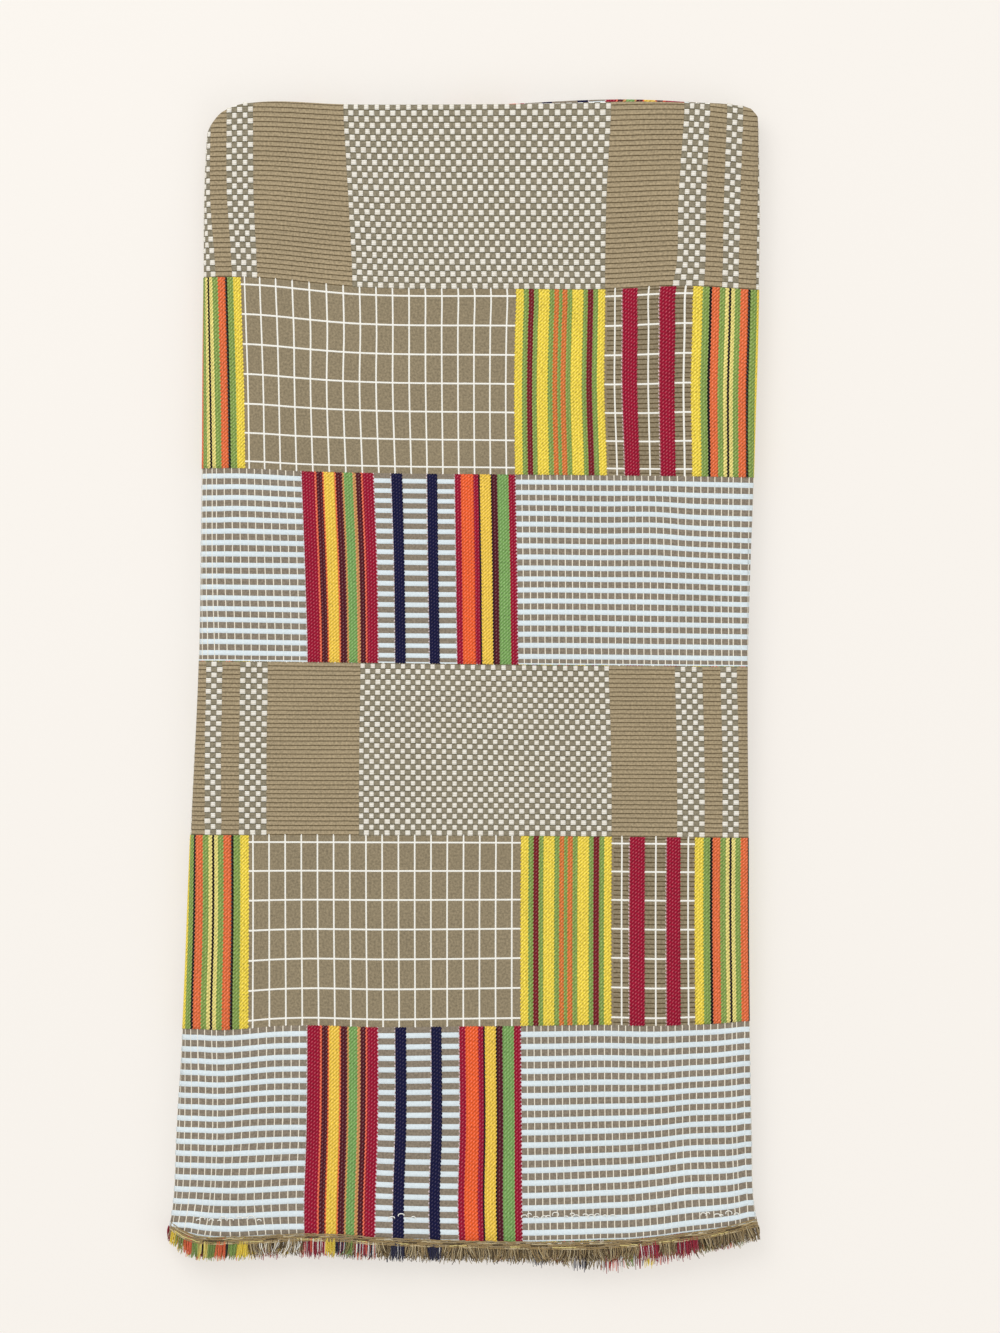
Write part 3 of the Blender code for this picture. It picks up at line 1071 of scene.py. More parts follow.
@dataclass(frozen=True)
class WovenCotton:
    """Yarn-dyed cotton with a ribbed ground: matt, with soft light along the raised threads, and painted
    light and shade on its ribs, twill and grooves.
    """

    name: str = "yarn_dyed_cotton"
    roughness: float = 0.86
    specular: float = 0.25
    sheen: float = 0.04
    bump_height: float = 0.35 * MM
    sizes: PatternSizes = PatternSizes()

    def material(self) -> bpy.types.Material:
        """Builds the whole woven pattern on the cloth's own pattern coordinates.

        Returns:
            The material.
        """
        material, tree, shader = new_finish(self.name, self.roughness, self.specular)
        shader.inputs["Sheen Weight"].default_value = self.sheen
        weave = add_node(tree, "ShaderNodeUVMap", {"uv_map": "weave"})
        split = add_node(tree, "ShaderNodeSeparateXYZ", None, {0: weave.outputs[0]})
        across, down = (Signal(tree, socket) for socket in split.outputs[:2])
        pattern = WovenPattern(across, down, self.sizes)
        fibre, blotch = (
            Signal(
                tree,
                add_node(
                    tree,
                    "ShaderNodeTexNoise",
                    {"noise_dimensions": "2D"},
                    {"Vector": weave.outputs[0], "Scale": 1 / size, "Detail": detail},
                ).outputs[0],
            )
            for size, detail in ((self.sizes.fibre, 2.0), (self.sizes.blotch, 1.0))
        )
        colour = self.tone_and_painted_light(pattern, self.colours(pattern), fibre, blotch)
        tree.links.new(colour, shader.inputs["Base Color"])
        # Height of the fine threads over the ground
        ribs = pattern.in_rib.pingpong(0.5) * pattern.plain_check
        height = ribs + pattern.dots * pattern.coloured * 0.8 + fibre * 0.35
        bump = add_node(
            tree,
            "ShaderNodeBump",
            None,
            {"Strength": 1.0, "Distance": self.bump_height, "Height": height.socket},
        )
        tree.links.new(bump.outputs[0], shader.inputs["Normal"])
        return material

    @staticmethod
    def ramp(at: Signal, block: Block) -> bpy.types.NodeSocket:
        """Colours of a block's stripes, sharp from one to the next.

        Args:
            at: Place across the block, from 0 to 1.
            block: The block.

        Returns:
            The colour there.
        """
        node = add_node(at.tree, "ShaderNodeValToRGB", None, {0: at.socket})
        node.color_ramp.interpolation = "CONSTANT"
        stops = node.color_ramp.elements
        edge = 0.0
        for index, stripe in enumerate(block.stripes):
            stop = stops[0] if index == 0 else stops.new(edge / block.width)
            stop.color = linear(stripe.yarn.value)
            edge += stripe.width
        stops.remove(stops[len(stops) - 1])
        return node.outputs[0]

    def colours(self, p: WovenPattern) -> bpy.types.NodeSocket:
        """Lays the yarns' colours and the painted shade of the grooves over each other, the grid band's
        blocks before the bar band.

        Args:
            p: The pattern.

        Returns:
            The clean colour.
        """
        yellow, red, orange = (
            (self.ramp(at, block), on)
            for at, block, on in zip(p.block_at, (YELLOW_BLOCK, RED_BLOCK, ORANGE_BLOCK), p.block_on)
        )
        colour = linear(Yarn.BEIGE.value)
        for over, share in (
            # The groove colours are painted shade
            (Yarn.RIB_GROOVE_SHADE, p.painted_rib_grooves),
            (Yarn.CHECK_GROUND, p.check_ground),
            (Yarn.CHECK_GROOVE_SHADE, p.painted_check_grooves),
            (Yarn.WHITE, p.squares),
            (Yarn.GRID_GROUND, p.in_grid),
            (Yarn.RIB_GROOVE_SHADE, p.painted_grid_rib_grooves),
            (Yarn.WHITE, p.grid_lines),
            (Yarn.CRIMSON, p.crimson),
            (self.ramp(p.mirror_at, MIRROR_BLOCK), p.mirror),
            yellow,
            (Yarn.BAR_GROUND, p.in_bars),
            (Yarn.CREAM, p.threads),
            (Yarn.ICE, p.white_bars),
            (Yarn.CREAM, p.crossing),
            (Yarn.NAVY, p.navy),
            red,
            orange,
        ):
            colour = blend(colour, linear(over.value) if isinstance(over, Yarn) else over, share)
        return colour

    @staticmethod
    def tone_and_painted_light(
        p: WovenPattern, colour: bpy.types.NodeSocket, fibre: Signal, blotch: Signal
    ) -> bpy.types.NodeSocket:
        """Adds painted highlight on the twill's ridges and painted shade in its gaps, painted light and shade
        across each rib, the beads, and the yarns' uneven tone.

        Args:
            p: The pattern.
            colour: The clean colour.
            fibre: Fine noise, for tone that changes yarn by yarn.
            blotch: Wide noise, for soft patches.

        Returns:
            The colour with all of that on it.
        """
        # Painted light and shade of the twill: lighter on its ridges, darker between them
        twill_light_and_shade = (p.dots - 0.52) * 1.5 * p.coloured
        # Painted highlight: a pale spot on each ridge's crest, weaker on navy
        twill_highlight = twill_light_and_shade * 0.30 * p.navy.scaled(-0.55, 1.0) | 0.0
        # Painted shade: black in the gaps between the twill's ridges
        gap = (0.22 - p.dots) * 0.9 * p.coloured | 0.0
        speckle = (fibre - 0.5) * (p.whites * -0.70 + 0.95)
        # Painted light and shade across each rib: lighter on its crown, darker in its hollow
        ribs = (p.in_rib.pingpong(0.5) - 0.25) * p.plain_check * 0.40
        tone = speckle + (blotch - 0.5) * 0.12 + ribs + twill_light_and_shade * 0.42 + 1.0
        for yarn, share in ((Yarn.PALE_WEFT_AND_HIGHLIGHT, twill_highlight), (Yarn.BLACK, gap), (Yarn.PALE_WEFT_AND_HIGHLIGHT, p.beads)):
            colour = blend(colour, linear(yarn.value), share)
        toned = add_node(
            tone.tree, "ShaderNodeVectorMath", {"operation": "SCALE"}, {0: colour, "Scale": tone.socket}
        )
        return toned.outputs[0]


def mesh_object(
    name: str, points: np.ndarray, faces: np.ndarray, material: bpy.types.Material
) -> bpy.types.Object:
    """Object with a mesh of quads or triangles.

    Args:
        name: The piece's name.
        points: One row of x, y and z for each vertex.
        faces: One row of vertex numbers for each face.
        material: Its finish.

    Returns:
        The new object, linked to the scene and shaded smooth.
    """
    mesh = bpy.data.meshes.new(name)
    mesh.from_pydata(points.tolist(), [], faces.tolist())
    mesh.materials.append(material)
    mesh.shade_smooth()
    made = bpy.data.objects.new(name, mesh)
    bpy.context.scene.collection.objects.link(made)
    return made


def shell_faces(columns: int, rows: int) -> np.ndarray:
    """Quads of a closed sheet: its two skins, the lower one first, and the four edges between them."""
    grid = np.arange(columns * rows).reshape(columns, rows)
    inner = np.stack([grid[:-1, :-1], grid[:-1, 1:], grid[1:, 1:], grid[1:, :-1]], axis=-1).reshape(-1, 4)
    outer = inner[:, ::-1] + columns * rows
    rim = np.concatenate([grid[0, :-1], grid[:-1, -1], grid[-1, :0:-1], grid[:0:-1, 0]])
    after = np.roll(rim, -1)
    edge = np.stack([rim, after, after + columns * rows, rim + columns * rows], axis=-1)
    return np.concatenate([inner, outer, edge])


def lay_coordinates(made: bpy.types.Object, name: str, values: np.ndarray) -> None:
    """Writes a UV map on a mesh from one pair of values for each vertex."""
    mesh = made.data
    layer = mesh.uv_layers.new(name=name)
    corners = np.zeros(len(mesh.loops), dtype=int)
    mesh.loops.foreach_get("vertex_index", corners)
    layer.data.foreach_set("uv", values[corners].ravel())


def turn_out(made: bpy.types.Object) -> None:
    """Turns a closed mesh's faces outwards."""
    bm = bmesh.new()
    bm.from_mesh(made.data)
    bmesh.ops.recalc_face_normals(bm, faces=bm.faces[:])
    bm.to_mesh(made.data)
    bm.free()


@dataclass
class Cloth:
    """The one folded sheet, as a closed skin on both faces of every layer."""

    form: FoldedForm
    lay: PatternLay
    name: str = "folded_woven_cloth"
    front_step: float = 0.0042
    other_step: float = 0.012
    fold_steps: int = 8
    wrap_steps: int = 18
    leaf_rows: int = 140
    back_rows: int = 44
    doubling_rows: int = 8
    loom_width: float = 1.18
    length: float = 1.14
    map_shown: tuple = (0.002, 0.620)  # left and right of each island in the map
    map_under: tuple = (0.626, 0.840)
    map_rest: tuple = (0.846, 0.920)
    map_inner: tuple = (0.926, 0.990)
    map_edge: tuple = (0.993, 0.999)

    def columns(self) -> np.ndarray:
        """Lengths along the cloth where its columns of faces begin and end."""
        found = [0.0]
        for section in self.form.sections:
            if section.turn:
                steps = self.wrap_steps if section.name == "left wrap" else self.fold_steps
            else:
                step = self.front_step if section.name == "front panel" else self.other_step
                steps = math.ceil(section.length / step)
            start = found[-1]
            found.extend(start + section.length * (i + 1) / steps for i in range(steps))
        return np.array(found)

    def build(self, material: bpy.types.Material) -> bpy.types.Object:
        """Makes the sheet, with its pattern coordinates.

        Args:
            material: The woven pattern.

        Returns:
            The finished piece.
        """
        form = self.form
        columns = self.columns()
        shares = np.linspace(0.0, 1.0, self.leaf_rows + 1)
        angles = np.linspace(0.0, math.pi, self.doubling_rows + 1)[1:-1]
        back = np.linspace(1.0, 0.0, self.back_rows + 1)
        rows = len(shares) + len(angles) + len(back)
        fold_y = form.fold_height(columns)
        low = form.woven_end(columns, 1)
        low_back = form.woven_end(columns, -1)
        round_fold = math.pi * (form.offset + form.leaf / 2)
        skins, lays = [], []
        for outside in (-form.leaf / 2, form.leaf / 2):
            points = np.zeros((len(columns), rows, 3))
            pattern = np.zeros((len(columns), rows, 2))
            for r in range(rows):
                if r < len(shares):
                    y, offset, beyond = low + shares[r] * (fold_y - low), form.offset + outside, 0.0
                elif r < len(shares) + len(angles):
                    angle = angles[r - len(shares)]
                    y = fold_y + (form.offset + outside) * math.sin(angle)
                    offset = (form.offset + outside) * math.cos(angle)
                    beyond = round_fold * angle / math.pi
                else:
                    share = back[r - len(shares) - len(angles)]
                    y = low_back + share * (fold_y - low_back)
                    offset, beyond = -form.offset - outside, round_fold + fold_y - y
                points[:, r] = form.place(columns, y, offset)
                pattern[:, r] = self.lay.coordinates(columns, y, beyond)
            skins.append(points.reshape(-1, 3))
            lays.append(pattern.reshape(-1, 2))
        faces = shell_faces(len(columns), rows)
        made = mesh_object(self.name, np.concatenate(skins), faces, material)
        turn_out(made)
        lay_coordinates(made, "weave", np.concatenate(lays))
        self.bake_layout(made, columns, rows)
        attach(made, BODY)
        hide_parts("folded_cloth")
        return made

    def bake_layout(self, made: bpy.types.Object, columns: np.ndarray, rows: int) -> None:
        """Lays out a second map, with most of it for the face that shows."""
        form = self.form
        count = len(columns)
        mesh = made.data
        corners = np.zeros(len(mesh.loops), dtype=int)
        mesh.loops.foreach_get("vertex_index", corners)
        quads = corners.reshape(-1, 4)
        outer = quads >= count * rows
        place = quads % (count * rows)
        column, row = place // rows, place % rows
        edge = outer.any(axis=1) & ~outer.all(axis=1)
        low_column, low_row = column.min(axis=1), row.min(axis=1)
        first = np.searchsorted(columns, form.begins("right fold") - 1e-6)
        last = np.searchsorted(columns, form.begins("lowest panel") + 1e-6)
        top_row = self.leaf_rows + self.doubling_rows // 2
        on_front = outer.all(axis=1) & (low_row < top_row)
        shown = on_front & (low_column >= first) & (low_column < last - 1)
        under = on_front & (low_column >= last - 1)
        length = columns[column]
        islands = (  # which faces, where they start and end along the cloth, left and right in the map
            (shown, columns[first], columns[last - 1], *self.map_shown),
            (under, columns[last - 1], columns[-1], *self.map_under),
            (outer.all(axis=1) & ~shown & ~under, 0.0, columns[-1], *self.map_rest),
            (~outer.any(axis=1), 0.0, columns[-1], *self.map_inner),
            (edge, 0.0, columns[-1], *self.map_edge),
        )
        u, v = np.zeros(quads.shape), np.zeros(quads.shape)
        for faces, start, end, left, right in islands:
            reach = top_row if faces is shown or faces is under else rows - 1
            u[faces] = left + (right - left) * np.clip((length[faces] - start) / (end - start), 0, 1)
            v[faces] = 0.002 + 0.996 * np.clip(row[faces] / reach, 0, 1)
        layer = mesh.uv_layers.new(name="OFBake")
        layer.data.foreach_set("uv", np.stack([u.ravel(), v.ravel()], axis=-1).ravel())


@dataclass
class RaisedStripes:
    """Coloured stripes and white bars that stand over the ground, each a low closed ribbon."""

    lay: PatternLay
    sizes: PatternSizes = PatternSizes()
    step: float = 4.0 * MM
    root: float = 0.45 * MM  # how deep a ribbon's underside lies in the cloth
    stripe_height: float = 0.30 * MM
    bar_height: float = 0.24 * MM
    shoulder: float = 0.16 * MM  # rounding at a stripe's edge
    edge_depth: float = 0.10 * MM  # how deep a stripe's outer edges lie in the cloth
    shoulder_share: float = 0.72  # of the height, where the rounding begins
    seam_share: float = 0.35  # of the height, between two stripes
    bar_shape: tuple = ((-1.0, -0.4), (-0.86, 0.8), (0.0, 1.0), (0.86, 0.8), (1.0, -0.4))  # place and height
    reach: tuple = (-45.0 * MM, 292.0 * MM)

    def lines(self, start: float, widths: Sequence[float], height: float) -> tuple[np.ndarray, np.ndarray]:
        """Places across a block and the height at each, a soft crown for each stripe."""
        places, heights = [start], [-self.edge_depth]
        edge = start
        for width in widths:
            round_off = min(self.shoulder, width / 4)
            middle = [edge + width / 2] if width < self.step else [edge + width / 3, edge + width * 2 / 3]
            places += [edge + round_off, *middle, edge + width - round_off]
            side = height * self.shoulder_share
            heights += [side, *([height] * len(middle)), side]
            edge += width
            places.append(edge)
            heights.append(height * self.seam_share)
        heights[-1] = -self.edge_depth
        return np.array(places), np.array(heights)

    def spans(self, start: float, end: float) -> np.ndarray:
        """Places from start to end, a step apart, with a short shoulder at both ends."""
        count = max(2, math.ceil((end - start) / self.step))
        inner = np.linspace(start + self.shoulder, end - self.shoulder, count)
        return np.concatenate([[start], inner, [end]])

    def blocks(self) -> list:
        """Every coloured block: its place across and down, its lines and their heights."""
        found = []
        mirror = [stripe.width for stripe in MIRROR_BLOCK.stripes]
        both = [*mirror[::-1][:-1], 2 * mirror[0], *mirror[1:]]
        grid_blocks = [(-MIRROR_BLOCK.width, both), (YELLOW_BLOCK.start, None), *CRIMSON_BARS]
        bar_blocks = [(RED_BLOCK.start, None), (ORANGE_BLOCK.start, None), *NAVY_BARS]
        by_start = {block.start: block for block in (YELLOW_BLOCK, RED_BLOCK, ORANGE_BLOCK)}
        for band in range(2):
            for rows, top, bottom in (
                (grid_blocks, CHECK_BAND, CHECK_BAND + GRID_BAND),
                (bar_blocks, CHECK_BAND + GRID_BAND, BANDS - (1.8 * MM if band else 0.0)),
            ):
                for start, widths in rows:
                    if widths is None:
                        widths = [stripe.width for stripe in by_start[start].stripes]
                    elif not isinstance(widths, list):
                        widths = [widths]
                    for turn in (-1, 0, 1):
                        across, heights = self.lines(start + turn * REPEAT, widths, self.stripe_height)
                        down = self.spans(band * BANDS + top, band * BANDS + bottom)
                        found.append((across, down, heights[:, None], self.ends(down)[None, :]))
        return found

    @staticmethod
    def ends(down: np.ndarray) -> np.ndarray:
        """Share of the height along a ribbon, down to nothing at its two ends."""
        share = np.ones(len(down))
        share[0] = share[-1] = 0.0
        return share

    def bars(self) -> list:
        """Every white bar between the coloured blocks, with a soft crown."""
        z = self.sizes
        gaps = (
            (ORANGE_BLOCK.start + ORANGE_BLOCK.width - REPEAT, RED_BLOCK.start),
            (RED_BLOCK.start + RED_BLOCK.width, NAVY_BARS[0][0]),
            (sum(NAVY_BARS[0]), NAVY_BARS[1][0]),
            (sum(NAVY_BARS[1]), ORANGE_BLOCK.start),
        )
        outer = [(left + turn * REPEAT, right + turn * REPEAT) for turn in (0, 1) for left, right in gaps[:1]]
        heights = self.bar_height * np.array([share for _, share in self.bar_shape])
        found = []
        for band in range(2):
            first = band * BANDS + CHECK_BAND + GRID_BAND + z.bar_centre * z.bar_pitch
            for count, pitch, stretches in (
                (z.bars, z.bar_pitch, outer),
                (z.middle_bars, z.middle_pitch, gaps[1:]),
            ):
                reach = z.bar_share * pitch / 2 * np.array([place for place, _ in self.bar_shape])
                for index in range(count):
                    for left, right in stretches:
                        across = self.spans(left, right)
                        down = first + index * pitch + reach
                        found.append((across, down, self.ends(across)[:, None], heights[None, :]))
        return found

    def build(self, name: str, ribbons: list, material: bpy.types.Material) -> bpy.types.Object:
        """Makes one piece of all the ribbons that show.

        Args:
            name: The piece's name.
            ribbons: Rows of places across and down, and the heights along both.
            material: The woven pattern.

        Returns:
            The finished piece, with its pattern coordinates.
        """
        low, high = self.reach
        points, coordinates, faces, begun = [], [], [], 0
        for across, down, heights, shares in ribbons:
            inside = (across > low) & (across < high)
            if inside.sum() < 3:
                continue
            across = across[inside]
            u, v = np.meshgrid(across, down, indexing="ij")
            shape = heights * shares
            height = shape[inside] if len(shape) == len(inside) else shape
            keep = self.lay.seen(u.ravel(), v.ravel()).reshape(u.shape)
            columns = keep.any(axis=1)
            rows = keep[columns].mean(axis=0) > 0.5 if columns.any() else np.zeros(len(down), dtype=bool)
            if columns.sum() < 2 or rows.sum() < 2:
                continue
            u, v = u[columns][:, rows], v[columns][:, rows]
            height = np.broadcast_to(height, (len(across), len(down)))[columns][:, rows]
            top = self.lay.raised(u.ravel(), v.ravel(), height.ravel())
            under = self.lay.raised(u.ravel(), v.ravel(), -self.root)
            pair = np.stack([u.ravel(), v.ravel()], axis=-1)
            points += [under, top]
            coordinates += [pair, pair]
            faces.append(shell_faces(*u.shape) + begun)
            begun += 2 * u.size
        made = mesh_object(name, np.concatenate(points), np.concatenate(faces), material)
        turn_out(made)
        lay_coordinates(made, "weave", np.concatenate(coordinates))
        return made


@dataclass(frozen=True)
class BleachedCotton:
    """Undyed, bleached cotton in soft floats: matt white, with painted shade in fine grey lines between the
    threads.
    """

    name: str = "bleached_cotton_floats"
    roughness: float = 0.88
    specular: float = 0.25
    thread: float = 0.95 * MM
    cloud: float = 2.2 * MM
    # painted shade in the hollows between the threads
    between: str = "#DDD5C6"
    bump_height: float = 0.15 * MM

    def material(self) -> bpy.types.Material:
        """Builds the finish, with threads drawn about twice as thick as real so that they show."""
        material, tree, shader = new_finish(self.name, self.roughness, self.specular)
        place = add_node(tree, "ShaderNodeTexCoord")
        wave = add_node(
            tree,
            "ShaderNodeTexWave",
            {"wave_type": "BANDS", "bands_direction": "Y", "wave_profile": "SIN"},
            {
                "Vector": place.outputs["Object"],
                "Scale": 1 / self.thread / math.tau * 2,
                "Distortion": 1.2,
                "Detail": 1.0,
                "Detail Scale": 1.5,
            },
        )
        noise = add_node(
            tree,
            "ShaderNodeTexNoise",
            None,
            {"Vector": place.outputs["Object"], "Scale": 1 / self.cloud, "Detail": 1.0},
        )
        both = add_node(
            tree, "ShaderNodeMath", {"operation": "MULTIPLY"}, {0: wave.outputs[1], 1: noise.outputs[0]}
        )
        share = add_node(tree, "ShaderNodeMapRange", None, {0: both.outputs[0], 2: 0.5})
        # Painted shade: greyer in the hollows between the threads, patchy by the noise
        tint = add_node(
            tree,
            "ShaderNodeMix",
            {"data_type": "RGBA"},
            {0: share.outputs[0], 6: linear(self.between), 7: linear(Yarn.WHITE.value)},
        )
        tree.links.new(tint.outputs[2], shader.inputs["Base Color"])
        bump = add_node(
            tree,
            "ShaderNodeBump",
            None,
            {"Strength": 0.5, "Distance": self.bump_height, "Height": wave.outputs[1]},
        )
        tree.links.new(bump.outputs[0], shader.inputs["Normal"])
        return material


@dataclass
class FloatTree:
    """Geometry tree that sets one soft pad of floating threads on each point."""

    name: str = "weft_floats_on_points"

    def build(self) -> bpy.types.NodeTree:
        """Adds the tree, with inputs for the places, the fall of the pads' edges and the finish."""
        tree = bpy.data.node_groups.new(self.name, "GeometryNodeTree")
        face = tree.interface
        face.new_socket("Places", in_out="INPUT", socket_type="NodeSocketGeometry")
        face.new_socket("Edge Fall", in_out="INPUT", socket_type="NodeSocketFloat")
        face.new_socket("Finish", in_out="INPUT", socket_type="NodeSocketMaterial")
        face.new_socket("Floats", in_out="OUTPUT", socket_type="NodeSocketGeometry")
        given = add_node(tree, "NodeGroupInput")
        pad = add_node(
            tree,
            "GeometryNodeMeshCube",
            None,
            {"Size": (1.0, 1.0, 1.0), "Vertices X": 4, "Vertices Y": 4, "Vertices Z": 2},
        )
        place = add_node(tree, "GeometryNodeInputPosition")
        split = add_node(tree, "ShaderNodeSeparateXYZ", None, {0: place.outputs[0]})
        across, along, high = (Signal(tree, socket) for socket in split.outputs)
        edge = (abs(across) | abs(along)) * 2.0
        low = high * (1.0 - edge**4.0 * given.outputs["Edge Fall"])
        joined = add_node(
            tree, "ShaderNodeCombineXYZ", None, {0: across.socket, 1: along.socket, 2: low.socket}
        )
        shaped = add_node(
            tree,
            "GeometryNodeSetPosition",
            None,
            {"Geometry": pad.outputs["Mesh"], "Position": joined.outputs[0]},
        )
        size, turn = (
            add_node(tree, "GeometryNodeInputNamedAttribute", {"data_type": "FLOAT_VECTOR"}, {"Name": name})
            for name in ("size_m", "turn")
        )
        turned = add_node(tree, "FunctionNodeEulerToRotation", None, {0: turn.outputs[0]})
        points = add_node(tree, "GeometryNodeMeshToPoints", None, {"Mesh": given.outputs["Places"]})
        spread = add_node(
            tree,
            "GeometryNodeInstanceOnPoints",
            None,
            {
                "Points": points.outputs[0],
                "Instance": shaped.outputs[0],
                "Rotation": turned.outputs[0],
                "Scale": size.outputs[0],
            },
        )
        real = add_node(tree, "GeometryNodeRealizeInstances", None, {"Geometry": spread.outputs[0]})
        dressed = add_node(
            tree,
            "GeometryNodeSetMaterial",
            None,
            {"Geometry": real.outputs["Geometry"], "Material": given.outputs["Finish"]},
        )
        add_node(tree, "NodeGroupOutput", None, {"Floats": dressed.outputs["Geometry"]})
        return tree


def grown(name: str, mesh: bpy.types.Mesh, tree: bpy.types.NodeTree, inputs: dict) -> bpy.types.Object:
    """Runs a geometry tree on a mesh and keeps the plain result.

    Args:
        name: The new piece's name.
        mesh: What the tree works on.
        tree: The geometry tree.
        inputs: Values for its inputs, by their names.

    Returns:
        The piece, with no modifier left on it.
    """
    guide = bpy.data.objects.new(f"{name}_guide", mesh)
    bpy.context.scene.collection.objects.link(guide)
    modifier = guide.modifiers.new("grown", "NODES")
    modifier.node_group = tree
    sockets = {item.name: item.identifier for item in tree.interface.items_tree if item.in_out == "INPUT"}
    for key, value in inputs.items():
        modifier[sockets[key]] = value
    graph = bpy.context.evaluated_depsgraph_get()
    plain = bpy.data.meshes.new_from_object(guide.evaluated_get(graph))
    bpy.data.objects.remove(guide)
    for index in reversed(range(len(plain.materials))):
        if plain.materials[index] is None:
            plain.materials.pop(index=index)
    plain.name = name
    plain.shade_smooth()
    made = bpy.data.objects.new(name, plain)
    bpy.context.scene.collection.objects.link(made)
    return made


@dataclass
class CheckFloats:
    """The white squares of the checked bands, each a low pad of floating threads."""

    lay: PatternLay
    sizes: PatternSizes = PatternSizes()
    name: str = "white_check_floats"
    height: float = 0.36 * MM
    sunk: float = 0.05 * MM
    edge_fall: float = 0.45
    seed: int = 11

    def places(self) -> np.ndarray:
        """Middle of each square across and down the pattern, and its width, in metres."""
        z = self.sizes
        found = []
        for turn in (-1, 0, 1):
            for wide in (True, False):
                half = z.wide_half if wide else z.narrow_half
                field_columns = np.arange(1 if wide else 0, z.check_columns, 2)
                columns = [(z.check_start + (k + 0.5) * z.check_pitch, z.check_pitch) for k in field_columns]
                for side in (-1, 1):
                    steps = (-2, 0, 2) if wide else (-1, 1)
                    columns += [
                        (side * z.group_centre + k * z.group_pitch, z.group_pitch) for k in steps
                    ]
                columns += [(k * z.group_pitch, z.group_pitch) for k in ((-1, 1) if wide else (0,))]
                for across, pitch in columns:
                    for row in range(1 if wide else 0, int(CHECK_BAND / z.check_row + 0.5), 2):
                        for band in range(2):
                            down = band * BANDS + (row + 0.5) * z.check_row
                            found.append((across + turn * REPEAT, down, 2 * half * pitch))
        return np.array(found)

    def build(self, tree: bpy.types.NodeTree, material: bpy.types.Material) -> bpy.types.Object:
        """Makes the squares that show, turned and sized as the cloth lies under each.

        Args:
            tree: The tree that sets a pad on each point.
            material: Their finish.

        Returns:
            The finished piece.
        """
        random = np.random.default_rng(self.seed)
        rows = self.places()
        rows = rows[(rows[:, 0] > -50 * MM) & (rows[:, 0] < 295 * MM)]
        rows = rows[self.lay.seen(rows[:, 0], rows[:, 1])]
        across, down, width = rows.T
        across = across + random.normal(0, 0.06, len(across)) * MM
        step = 0.5 * MM
        height = np.full(len(across), -self.sunk)
        centre = self.lay.raised(across, down, height)
        along = self.lay.raised(across + step, down, height) - self.lay.raised(across - step, down, height)
        up = self.lay.raised(across, down - step, height) - self.lay.raised(across, down + step, height)
        stretch_x, stretch_y = (np.linalg.norm(v, axis=1) / (2 * step) for v in (along, up))
        turns = []
        for x_axis, y_axis in zip(along, up):
            x_axis = Vector(x_axis).normalized()
            z_axis = x_axis.cross(Vector(y_axis)).normalized()
            turns.append(Matrix((x_axis, z_axis.cross(x_axis), z_axis)).transposed().to_euler()[:])
        tall = 2 * self.sizes.row_half * self.sizes.check_row
        uneven = random.uniform(0.94, 1.06, (len(across), 2))
        size = np.stack(
            [
                width * stretch_x * uneven[:, 0],
                tall * stretch_y * uneven[:, 1],
                np.full(len(across), 2 * (self.height + self.sunk)),
            ],
            axis=-1,
        )
        mesh = bpy.data.meshes.new(f"{self.name}_places")
        mesh.from_pydata(centre.tolist(), [], [])
        for name, values in (("size_m", size), ("turn", np.array(turns))):
            attribute = mesh.attributes.new(name, "FLOAT_VECTOR", "POINT")
            attribute.data.foreach_set("vector", values.ravel())
        return grown(self.name, mesh, tree, {"Edge Fall": self.edge_fall, "Finish": material})


@dataclass(frozen=True)
class YarnCotton:
    """Loose cotton yarn, dyed: matt and slightly fuzzy, its colour kept on each thread."""

    name: str = "loose_cotton_yarn"
    roughness: float = 0.9
    ply: float = 0.6 * MM
    unevenness: float = 0.30
    fuzz: float = 0.2
    brightest: float = 1.12

    def material(self) -> bpy.types.Material:
        """Builds the yarn's finish on the colour that each thread carries."""
        material, tree, shader = new_finish(self.name, self.roughness)
        shader.inputs["Sheen Weight"].default_value = self.fuzz
        dye = add_node(tree, "ShaderNodeAttribute", {"attribute_name": "dye"})
        place = add_node(tree, "ShaderNodeTexCoord")
        fleck = add_node(
            tree,
            "ShaderNodeTexNoise",
            None,
            {"Vector": place.outputs["Object"], "Scale": 1 / self.ply, "Detail": 2.0},
        )
        span = {0: fleck.outputs[0], 3: 1 - self.unevenness, 4: self.brightest}
        shade = add_node(tree, "ShaderNodeMapRange", None, span)
        tint = add_node(tree, "ShaderNodeVectorMath", {"operation": "SCALE"}, {0: dye.outputs[0]})
        tree.links.new(shade.outputs[0], tint.inputs["Scale"])
        tree.links.new(tint.outputs[0], shader.inputs["Base Color"])
        return material


